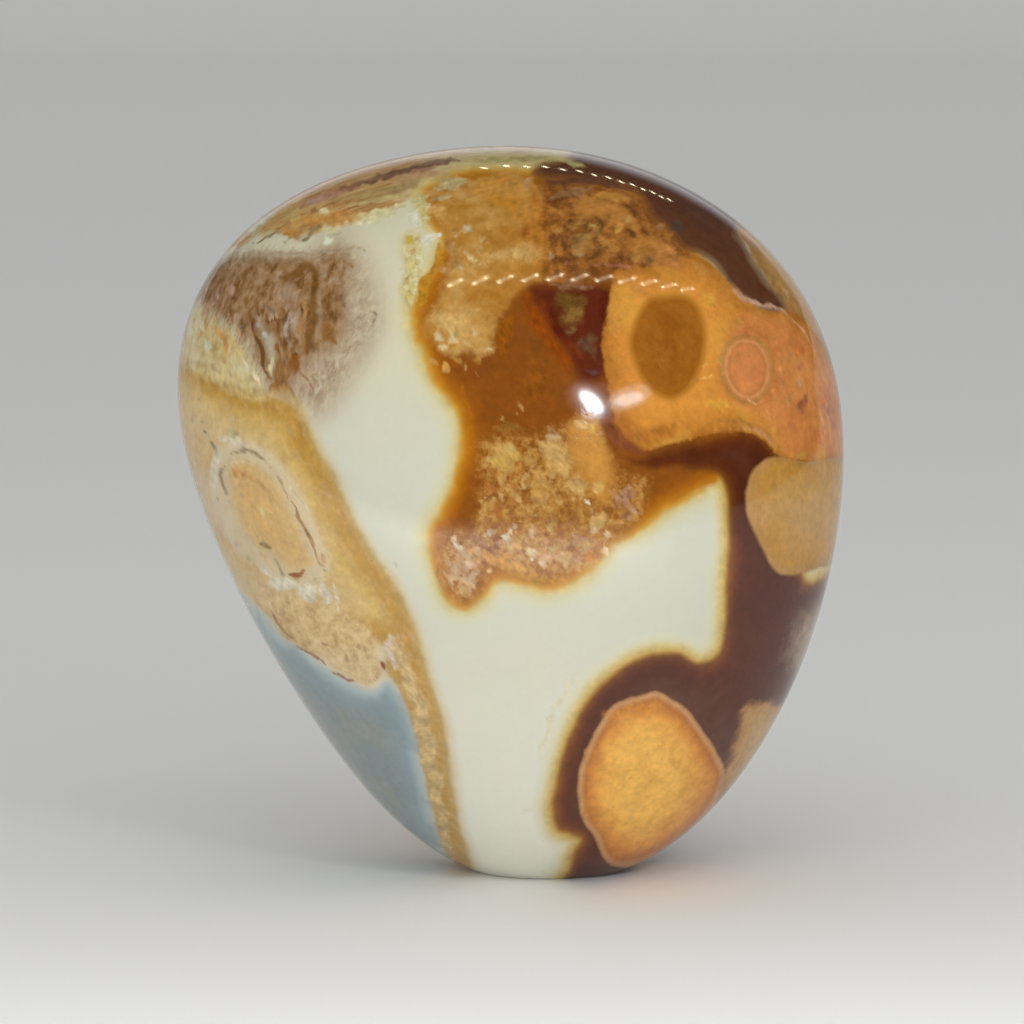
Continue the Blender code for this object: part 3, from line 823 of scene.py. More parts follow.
brush((0.54, 0.43, 0.22), 1.0, [(-5.2, 96), (-3.8, 95.2)], [(-7, 93.8), (-5.4, 92.2)],
      [(-4.7, 94.8), (-4.6, 93.6)], cover=0.6, soft=0.9)
brush((0.5, 0.4, 0.25), 0.9, [(-8.1, 92), (-7.8, 91.4)])
brush((0.5, 0.285, 0.08), 2.0, [(-12, 99.7), (-9.6, 99.5)], cover=0.75, soft=1.2)
brush((0.5, 0.255, 0.055), 2.4, [(-6, 103), (-1, 103.5), (2.4, 102.8)], cover=0.6, soft=1.8)
brush((0.44, 0.19, 0.025), 1.1, [(-1.8, 104.6), (-0.6, 104)], cover=0.85, soft=0.8)
brush((0.52, 0.3, 0.13), 0.9, [(2.9, 104.6), (2.2, 103.7)], soft=0.8)
brush((0.45, 0.22, 0.045), 2.8, [(1.4, 101), (3.2, 99)], cover=0.55, soft=2.0)
brush((0.55, 0.31, 0.07), 0.8, [(-3.7, 97.4)], [(-7.4, 97)])
brush((0.34, 0.14, 0.02), 1.2, [(3.4, 97.8), (4.3, 96.4), (2.2, 96)], [(5, 95.6), (5.2, 93.6)],
      cover=0.9, soft=0.9)
brush((0.46, 0.36, 0.16), 1.3, [(-12, 103.6), (-9, 104.3), (-6.6, 104.4)],
      [(-12, 101.6), (-9.4, 102.3)], cover=0.75, soft=1.0)
brush((0.35, 0.26, 0.13), 0.9, [(-9.9, 103.5), (-9, 103.4)], cover=0.7, soft=0.8)
brush((0.57, 0.51, 0.26), 1.1, [(-15, 101.5), (-13.2, 101.1)])
brush((0.4, 0.34, 0.13), 1.2, [(-6, 107.5), (0, 107.9), (6, 107.6), (11, 106.5)], soft=1.0)
brush((0.24, 0.15, 0.09), 1.2, [(-14, 106.9), (-9, 107.7)], cover=0.75, soft=0.9)
brush((0.53, 0.33, 0.11), 2.6, [(-12, 84), (-9.4, 83.4), (-5, 85)], [(0, 94), (3.8, 93.5)], cover=0.5,
      soft=2.0)
brush((0.54, 0.4, 0.2), 1.4, [(-11.6, 81.2), (-11.2, 80.8)], [(-9.3, 81), (-9, 80.8)],
      [(-11, 79.6), (-9.6, 79.3)], soft=0.8)
brush((0.55, 0.41, 0.22), 0.9, [(-4, 79.1), (-3.1, 78.8)], [(-5.5, 81.6)], [(-7, 80.2)], cover=0.75,
      soft=0.8)
brush((0.38, 0.17, 0.03), 1.2, [(-7.9, 77.3)], [(-5.4, 77.6), (-4.6, 77.1)], cover=0.75, soft=0.8)
brush((0.48, 0.25, 0.06), 1.2, [(-9.6, 76.6), (-10.8, 75.9)], [(-12.2, 77.6), (-11.5, 76.8)], soft=0.8)
brush((0.47, 0.25, 0.08), 0.7, [(-5.6, 75.5)], [(-4.4, 77.6)], [(-7, 76.6)], [(-8.6, 78)])
brush((0.4, 0.14, 0.006), 1.2, [(-7.6, 75), (-6.6, 70.4), (-6.3, 66), (-7, 62), (-7.8, 58)], cover=0.5,
      soft=1.4)
brush((0.235, 0.072, 0.004), 2.6, [(0, 84), (-1.4, 81), (-1.6, 78.4)], cover=0.85, soft=1.6)
brush((0.235, 0.072, 0.006), 5.0, [(3, 77), (3.6, 74), (0.6, 71.6)], cover=0.6, soft=3.0)
brush((0.27, 0.12, 0.02), 1.6, [(-3, 66.9), (2, 67.4)], cover=0.7, soft=1.2)
brush((0.44, 0.235, 0.07), 0.8, [(-1.9, 68.7), (-1.3, 68.5)])
brush((0.38, 0.19, 0.06), 0.6, [(1.7, 69.4), (1.3, 70.9)], [(0.6, 69.4)], [(6.1, 66.9), (5.2, 67.5)],
      cover=0.75)

# Right of that: a dark red heart with olive spots.
zone("red_heart", [
    (2.6, 88.8), (8, 89), (14.8, 88.6), (15, 85), (14.6, 80), (14.4, 75.6), (12.4, 73.8), (9.8, 74.6),
    (8.4, 77.8), (6.2, 81), (4, 84), (2.8, 86.4),
])
colour = mixed(colour, (0.105, 0.018, 0.006), spot("red_heart", 2.4, 0.9, mottle, at=0.3))
brush((0.235, 0.05, 0.003), 2.4, [(1.9, 88), (2.8, 85), (4.6, 82), (7, 78.6), (8.6, 75.6)], soft=2.4)
brush((0.17, 0.028, 0.004), 1.6, [(4.6, 86.6), (5.4, 84)], [(8.4, 80.4), (10.2, 78)], cover=0.7,
      soft=1.6)
brush((0.085, 0.012, 0.004), 1.8, [(6.2, 85.6), (6.8, 82.6), (8.6, 80.2)],
      [(13.6, 88), (14, 85.6), (13.6, 83)], soft=1.4)
brush((0.13, 0.062, 0.012), 3.0, [(7, 87.4), (8.4, 86.4), (10.8, 86.8)], soft=2.4)
brush((0.205, 0.105, 0.022), 2.0, [(7.6, 83.4), (9.4, 84.2), (11.2, 85.4)], cover=0.7, soft=1.9)
brush((0.19, 0.11, 0.035), 1.1, [(8.4, 82), (9.6, 82.4)], cover=0.7, soft=1.2)
brush((0.12, 0.065, 0.03), 1.8, [(11.4, 82), (12.2, 79.6), (12.4, 77.4)], [(10.6, 80.2), (11, 79)],
      cover=0.6, soft=2.0)
brush((0.1, 0.045, 0.042), 1.5, [(11.2, 76.2), (13, 75.4)], cover=0.75, soft=1.3)
brush((0.27, 0.14, 0.07), 0.9, [(5.4, 88.6), (9.4, 88.9), (12.4, 88.5)], cover=0.6, soft=1.0)

# Low in the caramel: a crumbly zone of jasper grains and druse, in tan, orange, mauve and white.
zone("crumble",
    [(-4.6, 65), (-1, 65.9), (3, 66.2), (6, 66.8), (8.4, 67.4), (10.6, 69.4), (12.8, 68.4),
     (14.4, 65.4), (15.4, 62), (17.5, 60), (20, 59.4), (19.8, 56), (18.6, 53.6), (16, 51.2), (13.6, 48),
     (11.4, 46.2), (8.4, 45.2), (5, 44.6), (1.6, 45.2), (-2, 46.4), (-4.4, 49.6), (-5.4, 53),
     (-4.8, 57.6), (-4.8, 61.4)],
    [(-10.6, 51.4), (-8.4, 52), (-6, 50.2), (-3.6, 46.8), (-4.6, 43.2), (-6.4, 41.4), (-8.6, 41.8),
     (-10, 44.4), (-11, 48)]
)
crumble, _ = shades(
    sum_of(product(crumb, 0.65), product(mottle, 0.35)),
    (0.38, (0.25, 0.084, 0.01)), (0.45, (0.32, 0.125, 0.018)), (0.51, (0.375, 0.17, 0.032)),
    (0.57, (0.425, 0.22, 0.055)), (0.66, (0.47, 0.28, 0.09)),
)
colour = mixed(colour, crumble, product(spot("crumble", 3.0, 1.2, crumb), 0.9))
zone("orange_bead", [
    (8.5, 66.4), (9.4, 68.4), (11.2, 69.2), (12.8, 68), (14, 64.8), (15.2, 61.4), (15, 57.8),
    (13.8, 56), (12.2, 57), (10.6, 59.4), (9.1, 61.4), (8.4, 64.2),
])
MAUVE = (0.34, 0.17, 0.085)
BUFF = (0.50, 0.32, 0.11)
SUGAR = (0.56, 0.43, 0.29)
sprinkle("crumble", (0.5, 58), (6, 7), 50, (0.5, 1.1), (0.36, 0.15, 0.03), (0.46, 0.25, 0.06),
         (0.5, 0.3, 0.1), cover=0.75)
sprinkle("crumble", (4, 50), (9, 4), 60, (0.5, 1.2), (0.34, 0.14, 0.025), (0.47, 0.24, 0.06), BUFF,
         (0.4, 0.19, 0.08), cover=0.8)
sprinkle("crumble", (17.4, 56.6), (2.4, 3.2), 40, (0.4, 0.9), MAUVE, (0.26, 0.11, 0.05),
         (0.42, 0.24, 0.14), (0.46, 0.22, 0.05))
sprinkle("crumble", (-7.4, 46.4), (3.0, 5.0), 50, (0.5, 1.2), (0.45, 0.25, 0.1), (0.49, 0.31, 0.15),
         (0.4, 0.18, 0.05), (0.52, 0.36, 0.19))
brush((0.475, 0.28, 0.07), 4.8, [(-1.2, 63)], cover=0.85, soft=2.4)
brush((0.47, 0.31, 0.055), 1.3, [(-2.5, 62.3), (-1.6, 62.2)], cover=0.7, soft=1.0)
brush((0.53, 0.36, 0.13), 1.3, [(-0.9, 64.3), (0, 64.2)], cover=0.6, soft=1.0)
brush((0.38, 0.2, 0.05), 0.9, [(1.8, 64.2), (3.4, 64)], [(1.6, 62.4), (3.4, 62.4)],
      [(2.6, 58.8), (3.4, 58.4)], [(4.6, 59.4)], cover=0.7, soft=0.8)
brush((0.48, 0.29, 0.095), 4.4, [(4.6, 64.8), (7, 63.2), (7.8, 60.4)], cover=0.7, soft=2.6)
brush((0.46, 0.26, 0.07), 4.0, [(3, 62), (5, 59), (7.4, 56.6)], cover=0.5, soft=3.0)
brush((0.49, 0.34, 0.19), 1.0, [(6.8, 66), (5, 66.3)], cover=0.7, soft=0.8)
brush((0.49, 0.3, 0.1), 3.0, [(9, 59.4), (11, 57.6)], [(13, 53.9), (13.2, 53)], cover=0.75, soft=1.4)
colour = lay(
    colour, "orange_bead", 0.4, crumb,
    (-0.9, (0.42, 0.18, 0.03), 0.0), (0.3, (0.46, 0.205, 0.036), 0.85), (1.4, (0.5, 0.23, 0.042), 0.95),
    (3.0, (0.52, 0.24, 0.044), 0.95),
)
brush((0.55, 0.33, 0.11), 1.8, [(10, 67.8), (11, 67.6)], soft=1.2)
brush((0.6, 0.27, 0.05), 1.3, [(12.2, 66.6), (12.4, 64.6)], cover=0.6, soft=1.0)
brush((0.58, 0.36, 0.06), 0.9, [(12, 67.1)], cover=0.7, soft=0.8)
brush((0.52, 0.315, 0.09), 2.2, [(13, 59.6), (13.2, 57.2)], soft=1.4)
brush((0.82, 0.71, 0.53), 0.6, [(10.9, 56.1), (11.5, 56.1)], cover=0.95, soft=0.5)
brush((0.6, 0.5, 0.34), 0.5, [(11.6, 55.1)])
brush((0.48, 0.27, 0.075), 2.2, [(3, 57), (4.8, 56)], cover=0.6, soft=1.4)
brush((0.38, 0.21, 0.035), 1.2, [(6, 53.4), (7, 52.7)], [(6.1, 50), (6.6, 49.5)], soft=0.9)
brush((0.38, 0.13, 0.03), 1.5, [(-4, 59), (-2.8, 58.2)], soft=1.0)
brush((0.53, 0.29, 0.14), 0.6, [(-4.1, 56.7), (-3.6, 56.7)], cover=0.85)
brush((0.33, 0.11, 0.018), 1.6, [(-2.2, 56), (-1.6, 53.2)], soft=1.1)
brush(SUGAR, 1.1, [(-1.5, 51.2), (-0.6, 50.4)], [(4.4, 47.2), (4.8, 46.8)], cover=0.85, soft=0.8)
brush((0.46, 0.33, 0.23), 0.9, [(-3.5, 52.2), (-3, 50.9)], [(0.1, 52.1), (0.6, 53)], [(5.4, 47.8)],
      soft=0.7)
brush((0.51, 0.32, 0.15), 1.3, [(2.8, 51.5), (3.2, 51.3)], cover=0.85, soft=0.8)
brush((0.54, 0.45, 0.25), 1.2, [(2.6, 49.1), (3.5, 48.6)], cover=0.85, soft=0.8)
brush((0.58, 0.48, 0.34), 0.7, [(3, 47.5)], [(-0.4, 51.6)], [(-8.1, 49.9), (-7.4, 49.2)], cover=0.85)
brush((0.46, 0.2, 0.02), 1.5, [(-4, 48.4), (-1.8, 47.4), (-0.4, 48.4)], cover=0.85, soft=1.0)
brush((0.48, 0.23, 0.045), 1.6, [(-6.2, 49.2), (-3, 47.4), (0.6, 46.3), (3.6, 45.8)], cover=0.6,
      soft=1.4)
brush((0.42, 0.22, 0.085), 1.8, [(3.6, 48.6), (6.4, 47.6), (9.4, 48.8)], cover=0.55, soft=1.6)
brush((0.47, 0.29, 0.14), 3.2, [(-8.6, 45.6), (-7.8, 49.4)], cover=0.35, soft=2.6)
brush((0.51, 0.25, 0.06), 1.1, [(1, 46.9), (0.4, 46.6)], [(16.2, 53.4)], [(18, 54.3)], soft=0.9)
brush((0.58, 0.34, 0.11), 1.0, [(-3.7, 46.1), (-3, 45.8)], cover=0.85)
brush((0.47, 0.17, 0.02), 1.7, [(12, 47.8), (11.5, 48.5)], cover=0.85, soft=1.0)
brush((0.43, 0.2, 0.08), 1.7, [(10, 47.5), (9, 47.3)], cover=0.75, soft=1.0)
brush((0.33, 0.165, 0.07), 1.0, [(8, 49.7), (10, 50.5), (12, 50.7)], cover=0.75, soft=0.8)
brush((0.6, 0.45, 0.23), 0.7, [(13.6, 49.9), (13.9, 48.5)], cover=0.85)
brush((0.5, 0.345, 0.19), 1.0, [(14.4, 51.1)], [(12.4, 51.7), (13, 51.5)])
brush((0.42, 0.2, 0.02), 1.1, [(-1.4, 45.2), (3, 44.6), (8, 44.7)], cover=0.7, soft=0.9)
brush((0.49, 0.34, 0.22), 1.3, [(-6.9, 47.1), (-6.3, 46.4)], [(-5.9, 44.8)], cover=0.7, soft=1.0)
brush((0.5, 0.27, 0.15), 1.1, [(-9.9, 47.2), (-9.6, 46.8)], cover=0.7, soft=0.9)
brush((0.51, 0.34, 0.13), 1.3, [(-7.6, 43.1), (-7, 42.6)], cover=0.7, soft=1.0)
brush((0.33, 0.165, 0.06), 0.6, [(-11.3, 48), (-10.9, 45.4), (-10, 43)], cover=0.7, soft=0.7)

# Left of the caramel's top: a torn fringe of straw-yellow jasper.
zone("straw_fringe",
    [(-16.4, 96.2), (-14.8, 97), (-13.6, 96), (-13.4, 93), (-13.6, 90), (-14.4, 87.6), (-15, 85.4),
     (-16, 85.8), (-17, 88), (-16.2, 90.6), (-16.7, 93.6)],
    [(-14.6, 101.6), (-12.8, 102), (-12.6, 98.6), (-13.8, 98.9)]
)
straw, _ = shades(
    crumb,
    (0.36, (0.44, 0.3, 0.09)), (0.46, (0.52, 0.41, 0.15)), (0.56, (0.57, 0.48, 0.23)),
    (0.66, (0.61, 0.56, 0.38)),
)
colour = mixed(colour, straw, product(spot("straw_fringe", 1.4, 1.3, crumb), 0.85))
brush((0.5, 0.36, 0.065), 1.3, [(-15.4, 96.2), (-15, 95)], cover=0.85, soft=0.8)
brush((0.5, 0.32, 0.14), 0.9, [(-14.8, 94.1), (-14.7, 93.6)])
brush((0.56, 0.465, 0.18), 1.2, [(-15.6, 92.6), (-15.2, 90.8)], cover=0.7, soft=0.9)
brush((0.43, 0.32, 0.09), 1.0, [(-15.3, 90.1), (-15.6, 89.1)], soft=0.8)
brush((0.45, 0.4, 0.28), 0.5, [(-17.1, 87.8), (-16.9, 86.8)], [(-16.9, 91.6), (-17, 90.9)], cover=0.7)
brush((0.6, 0.57, 0.36), 0.8, [(-14.2, 93.4), (-14, 91.6)])
brush((0.55, 0.43, 0.15), 1.2, [(-16, 88), (-15.4, 86.5)], cover=0.7, soft=0.9)

# The top: orange-brown jasper, blotched black-brown, under a dark liver-brown cap along the rim.
zone("blotched", [
    (4.4, 105.4), (5, 101), (4.8, 97), (5.2, 93.8), (5, 90.4), (9, 89.6), (14, 90.2), (20, 90.8),
    (26.5, 92.6), (25.5, 95.4), (22.5, 98.4), (20.6, 101), (18.5, 103), (13.5, 104.2), (9, 104.6),
])
blotched, _ = shades(
    sum_of(product(mottle, 0.6), product(crumb, 0.4)),
    (0.38, (0.15, 0.052, 0.012)), (0.45, (0.205, 0.075, 0.016)), (0.51, (0.265, 0.096, 0.018)),
    (0.57, (0.325, 0.122, 0.023)), (0.66, (0.37, 0.16, 0.035)),
)
colour = mixed(colour, blotched, spot("blotched", 3.0, 2.2, mottle))
BLOT = (0.115, 0.048, 0.010)
brush((0.41, 0.17, 0.035), 3.4, [(9.6, 100.6), (13.6, 100.2), (17.8, 98.4)], cover=0.95, soft=2.6)
brush((0.39, 0.16, 0.038), 3.8, [(18.2, 94.6), (21.6, 93.4), (24.8, 91.6)], cover=0.85, soft=3.0)
sprinkle("blotched", (10, 96.4), (5, 4.4), 46, (0.5, 1.1), (0.17, 0.07, 0.015), (0.2, 0.085, 0.022),
         (0.36, 0.165, 0.035), (0.28, 0.16, 0.055), cover=0.7, soft=0.8)
sprinkle("blotched", (19, 95.4), (6, 4), 40, (0.6, 1.4), (0.38, 0.15, 0.028), (0.28, 0.11, 0.025),
         (0.4, 0.17, 0.035), cover=0.6, soft=0.9)
brush(BLOT, 0.8, [(5.9, 98.4), (6.5, 98)], [(8.3, 98.5), (9.1, 98.3)],
      [(12.5, 99), (13.4, 97.7), (13.4, 96.5)], [(13, 94.2), (12, 93.1), (10.9, 92.7)],
      [(7.4, 95.1), (8, 94.1)], [(18, 96.1), (18.7, 95.9)], cover=0.85, soft=0.8)
brush((0.15, 0.065, 0.012), 0.7, [(11.4, 98.9), (11, 97.5), (11.6, 96.3)], [(9.4, 95.4), (10.2, 95.8)],
      [(16.4, 95), (16.8, 94.4)])
brush((0.4, 0.27, 0.075), 0.8, [(12.1, 97.5)], [(16.8, 99), (17.4, 98.8)])
brush((0.37, 0.18, 0.04), 1.2, [(7, 96.6)], [(14.9, 95), (14.6, 93.6)], [(18.4, 93.6), (18.2, 92.5)],
      cover=0.7, soft=1.0)
brush((0.36, 0.13, 0.07), 0.9, [(8, 92.5), (8.4, 92)], [(12, 91.4), (16, 91.7), (19, 91.2)], cover=0.65,
      soft=0.9)
brush((0.34, 0.2, 0.1), 1.0, [(6, 93.2)], [(9.7, 93.4), (10.6, 93.6)], cover=0.7, soft=0.8)
brush((0.27, 0.13, 0.05), 1.5, [(5.6, 101.5), (9, 102.5), (12, 103.1)], cover=0.75, soft=1.1)
brush((0.135, 0.052, 0.024), 1.4, [(5.4, 104.4), (9, 104.5), (13, 104.3), (18, 103.3)], cover=0.85,
      soft=1.0)
brush((0.45, 0.205, 0.038), 1.5, [(12.2, 101.5), (15, 102), (17.8, 101.2)], cover=0.85, soft=1.0)
brush((0.47, 0.235, 0.05), 1.2, [(16.3, 97.8), (16, 96.4)], soft=0.8)
brush((0.13, 0.085, 0.03), 1.3, [(20, 93.2), (20.8, 92.7)], soft=1.0)
brush((0.43, 0.175, 0.045), 1.6, [(22.4, 94.6), (24.4, 94)], cover=0.7, soft=1.3)
brush((0.25, 0.165, 0.08), 0.9, [(21.6, 97.7), (22.2, 97.2)], cover=0.7, soft=0.8)

zone("liver_cap", [
    (3.4, 105.6), (7, 104.8), (11, 104.6), (16, 104), (19.4, 102.4), (21, 99.8), (23.5, 97.2),
    (26, 94.4), (28.6, 93.4), (30.8, 91.6), (32.8, 88.9), (34.6, 87), (37, 85.6), (39.4, 84.8),
    (41.2, 84.9), (40.4, 86.6), (38.2, 89), (36.2, 92), (34.6, 95), (33.6, 97), (36, 104), (20, 116),
    (10, 108.6), (5, 107),
])
colour = lay(
    colour, "liver_cap", 0.5, ripple,
    (-0.9, (0.3, 0.13, 0.03), 0.0), (-0.1, (0.16, 0.06, 0.02), 0.8), (0.7, (0.105, 0.038, 0.017)),
    (3.0, (0.098, 0.035, 0.016)), (6.0, (0.095, 0.04, 0.026)),
)
brush((0.07, 0.045, 0.028), 2.0, [(23.6, 98.2), (25.2, 96.8)], cover=0.7, soft=1.4)
brush((0.12, 0.045, 0.028), 1.6, [(31, 99), (33, 97), (34.4, 93.6)], [(24, 103), (29, 100.2)],
      cover=0.5, soft=1.6)
brush((0.11, 0.03, 0.01), 1.4, [(37, 89), (38.8, 86.8)], cover=0.7, soft=1.0)

# Down the right: liver-brown jasper round the orbs, with an amber seam where it meets the cream.
zone("liver", [
    (14.4, 67.8), (15.4, 65), (18, 62.8), (22, 63.8), (26, 64.8), (29.4, 66), (32.4, 66.8),
    (35.6, 66.8), (38.2, 65.4), (40.4, 62.6), (40, 60), (44, 44), (52, 48), (60, 40), (50, 0), (30, -8),
    (8.6, -4), (9, 1), (9.6, 3.6), (10.6, 5.6), (8.8, 6.6), (7, 7.4), (6.4, 10), (6.9, 14), (8, 18.2),
    (9.2, 21.8), (10.8, 25), (13, 28), (15.6, 30.4), (18.6, 32.3), (22, 33.3), (25, 33.1), (27.6, 31.8),
    (30, 32.3), (31.5, 34.2), (32.2, 38.4), (32.4, 44), (32.8, 50), (32.7, 55), (32.2, 58.4),
    (30.6, 60.6), (27, 61), (22.4, 60.8), (18.6, 61.4), (16, 63), (14.4, 65.2),
])
seam = depth_of("liver", 0.35, ripple)
halo, halo_cover = shades(
    seam,
    (-3.6, (0.62, 0.6, 0.43), 0.0), (-2.3, (0.62, 0.56, 0.32), 0.55), (-1.4, (0.6, 0.46, 0.18), 0.9),
    (-0.6, (0.51, 0.33, 0.085)), (0.1, (0.34, 0.145, 0.016)), (0.8, (0.2, 0.062, 0.008)),
)
colour = mixed(colour, halo, product(halo_cover, from_to(border, -0.6, 0.8, 1.0, 0.0)))
liver, liver_cover = shades(
    seam,
    (-0.6, (0.28, 0.085, 0.008), 0.0), (0.3, (0.2, 0.06, 0.008), 0.9), (1.1, (0.13, 0.03, 0.005)),
    (2.0, (0.095, 0.021, 0.006)), (4.0, (0.085, 0.02, 0.008)),
)
liver = mixed(liver, (0.105, 0.040, 0.022), product(from_to(drift, 0.40, 0.60), from_to(seam, 2.0, 6.0)))
liver = mixed(liver, (0.070, 0.016, 0.006), product(from_to(cloud, 0.45, 0.65), 0.6))
colour = mixed(colour, liver, liver_cover)

# The right shoulder: a tan strip by the rim, then the bright orange shield.
zone("tan_strip", [
    (33.8, 97.4), (35.4, 94.4), (37, 91.4), (39, 88.6), (41, 86), (42.6, 83.4), (44.4, 81),
    (46.4, 77.5), (55, 78), (48, 96), (38, 102),
])
colour = lay(
    colour, "tan_strip", 1.1, mottle,
    (-0.4, (0.2, 0.08, 0.03), 0.0), (0.2, (0.33, 0.155, 0.045)), (1.4, (0.42, 0.22, 0.065)),
    (3.0, (0.46, 0.265, 0.095)), (4.4, (0.37, 0.18, 0.055)), (6.0, (0.52, 0.35, 0.16)),
    (7.4, (0.42, 0.22, 0.07)), (10.0, (0.55, 0.44, 0.26)),
)
brush((0.35, 0.21, 0.06), 1.1, [(35.4, 95.4), (37.4, 91.8), (39.3, 88.6)], cover=0.6, soft=1.0)
brush((0.24, 0.13, 0.045), 0.8, [(38.8, 90), (39, 89.2)], soft=0.8)
brush((0.47, 0.3, 0.15), 0.8, [(40.4, 88.8), (42, 86)], cover=0.7, soft=0.8)
brush((0.45, 0.22, 0.1), 1.0, [(42.4, 87.6), (44.4, 84.6), (46, 81)], cover=0.7, soft=1.0)

zone("shield", [
    (15.6, 90.8), (14.9, 87.6), (14.2, 84), (13.7, 80), (14.2, 76), (14.8, 72.6), (15.6, 69),
    (17, 66.4), (18.4, 64.6), (20.4, 64.2), (23, 65), (26, 65.6), (29, 66.5), (32, 66.9), (35.4, 66.9),
    (38, 65.6), (40, 63.4), (42, 62.5), (44.6, 62.2), (47, 62.6), (49, 62.9), (56, 62), (58, 74),
    (50, 76), (46.8, 79.4), (44.6, 82), (42.6, 84.2), (41, 84.9), (39.2, 84.6), (37, 85.2),
    (34.6, 86.7), (32.2, 89), (30.2, 91.4), (27.4, 92.9), (24, 92.3), (20, 91.2), (17, 90.8),
])
zone("salmon", [
    (31.4, 80), (32.4, 83), (35, 85), (38, 84.4), (41.4, 84.4), (44.6, 81.6), (47, 78), (56, 74),
    (58, 62), (48.4, 62.9), (44.6, 62.4), (41.6, 63.2), (39.4, 65.6), (37.4, 68.4), (34.4, 69.8),
    (32, 71.6), (30.8, 75),
])
shield, shield_cover = shades(
    depth_of("shield", 0.55, crumb),
    (-0.45, (0.36, 0.13, 0.02), 0.0), (0.0, (0.36, 0.13, 0.018)), (0.9, (0.45, 0.175, 0.026)),
    (2.4, (0.55, 0.215, 0.033)), (4.5, (0.62, 0.25, 0.04)),
)
shield = mixed(shield, (0.655, 0.325, 0.050), product(from_to(cloud, 0.48, 0.66), 0.6))
shield = mixed(shield, (0.55, 0.215, 0.038), product(from_to(mottle, 0.52, 0.70), 0.45))
colour = mixed(colour, shield, shield_cover)
salmon, _ = shades(
    sum_of(product(cloud, 0.7), product(mottle, 0.3)),
    (0.38, (0.47, 0.155, 0.042)), (0.48, (0.54, 0.19, 0.052)), (0.57, (0.565, 0.215, 0.062)),
    (0.66, (0.58, 0.25, 0.08)),
)
colour = mixed(colour, salmon, product(spot("salmon", 4.0, 1.0, mottle, at=0.6), 0.9))

# In the salmon: a small orb with a brown rim and a paler ring inside it.
zone("salmon_orb", [
    (34.8, 80.9), (36.8, 80.4), (38.3, 78.6), (38.9, 76.3), (38.5, 73.8), (37.2, 72), (35.4, 71.4),
    (33.4, 72.2), (32, 74.2), (31.6, 76.6), (32.2, 79), (33.4, 80.5),
])
colour = lay(
    colour, "salmon_orb", 0.15, mottle,
    (-0.9, (0.5, 0.2, 0.05), 0.0), (-0.3, (0.4, 0.18, 0.045), 0.9), (0.1, (0.47, 0.2, 0.06), 0.9),
    (0.5, (0.6, 0.26, 0.1), 0.9), (0.9, (0.48, 0.18, 0.05), 0.9), (1.4, (0.565, 0.205, 0.064), 0.9),
    (4.0, (0.58, 0.205, 0.064), 0.9),
)

# In the shield: a window of clear amber agate.
zone("amber_window", [
    (20.4, 86.6), (23, 87.2), (26.4, 87), (28.4, 84.6), (29.1, 81.4), (28.9, 78.4), (28, 75.4),
    (26.4, 72.9), (24, 71.6), (21.4, 72.4), (19.4, 74.6), (18.1, 77.6), (17.6, 80.6), (18.6, 83.8),
])
window, window_cover = shades(
    depth_of("amber_window", 0.45, crumb),
    (-0.6, (0.55, 0.23, 0.03), 0.0), (0.1, (0.42, 0.165, 0.018), 0.8), (0.8, (0.31, 0.105, 0.009)),
    (5.0, (0.27, 0.086, 0.007)),
)
window = mixed(window, (0.32, 0.125, 0.016), product(from_to(mottle, 0.45, 0.62), 0.4))
colour = mixed(colour, window, window_cover)
brush((0.46, 0.2, 0.05), 1.6, [(17.4, 88.4), (20, 87.8)], cover=0.6, soft=1.4)
brush((0.46, 0.22, 0.045), 1.8, [(27, 91.6), (29, 90.8)], cover=0.6, soft=1.4)
brush((0.45, 0.17, 0.03), 1.3, [(31, 90.6), (33, 88.2), (35.4, 86)], cover=0.6, soft=1.2)
brush((0.64, 0.33, 0.045), 2.2, [(28.4, 87.4), (30.4, 85.6)], [(29, 71), (33, 70.4)], cover=0.6,
      soft=1.8)
brush((0.57, 0.25, 0.055), 1.4, [(15.4, 86), (15.3, 80)], cover=0.6, soft=1.2)
brush((0.47, 0.28, 0.18), 0.7, [(33.4, 88.1), (35, 86.8), (37, 85.8), (39, 85.2), (40.7, 84.8)],
      cover=0.9, soft=0.9)
brush((0.6, 0.34, 0.17), 0.4, [(40.7, 84.8), (42.4, 83.4), (44.2, 81.2), (45.8, 78.6)], cover=0.7)
brush((0.7, 0.36, 0.085), 0.5, [(28, 74.5), (29.4, 74.8), (30.1, 76)], [(28.4, 75.9), (29.4, 77)])
brush((0.42, 0.17, 0.03), 1.0, [(26.7, 73.2), (27.9, 74.6)], soft=0.9)
brush((0.4, 0.19, 0.06), 0.6, [(21.5, 81.3)], [(22.4, 77.6), (21.7, 76.5)], cover=0.6)
brush((0.42, 0.23, 0.045), 0.8, [(33.6, 83.6), (34.8, 82.8)], cover=0.75, soft=0.8)
brush((0.55, 0.27, 0.05), 0.9, [(31.2, 82), (32.4, 81.4)], cover=0.6, soft=0.8)
brush((0.46, 0.26, 0.065), 0.7, [(32, 79.6), (31.3, 77.6), (31.5, 75.2)], soft=0.8)
brush((0.5, 0.2, 0.065), 0.7, [(38.6, 81), (40.2, 78.8), (40.6, 76), (40, 73), (38.4, 70.8)], cover=0.7,
      soft=0.8)
brush((0.61, 0.33, 0.14), 0.5, [(35, 71.5), (36.6, 70.9), (38, 71.2)], [(38.6, 72.4), (38.9, 73.4)],
      cover=0.7)
brush((0.45, 0.2, 0.055), 0.7, [(41, 79.6), (41.8, 76.8)], cover=0.7, soft=0.8)
brush((0.54, 0.165, 0.04), 1.7, [(42.2, 79.1), (43.6, 79.1)], cover=0.75, soft=1.2)
brush((0.47, 0.15, 0.06), 1.3, [(43.4, 77.6), (43.4, 75.6)], [(47.6, 70.6), (48.2, 67)], cover=0.65,
      soft=1.2)
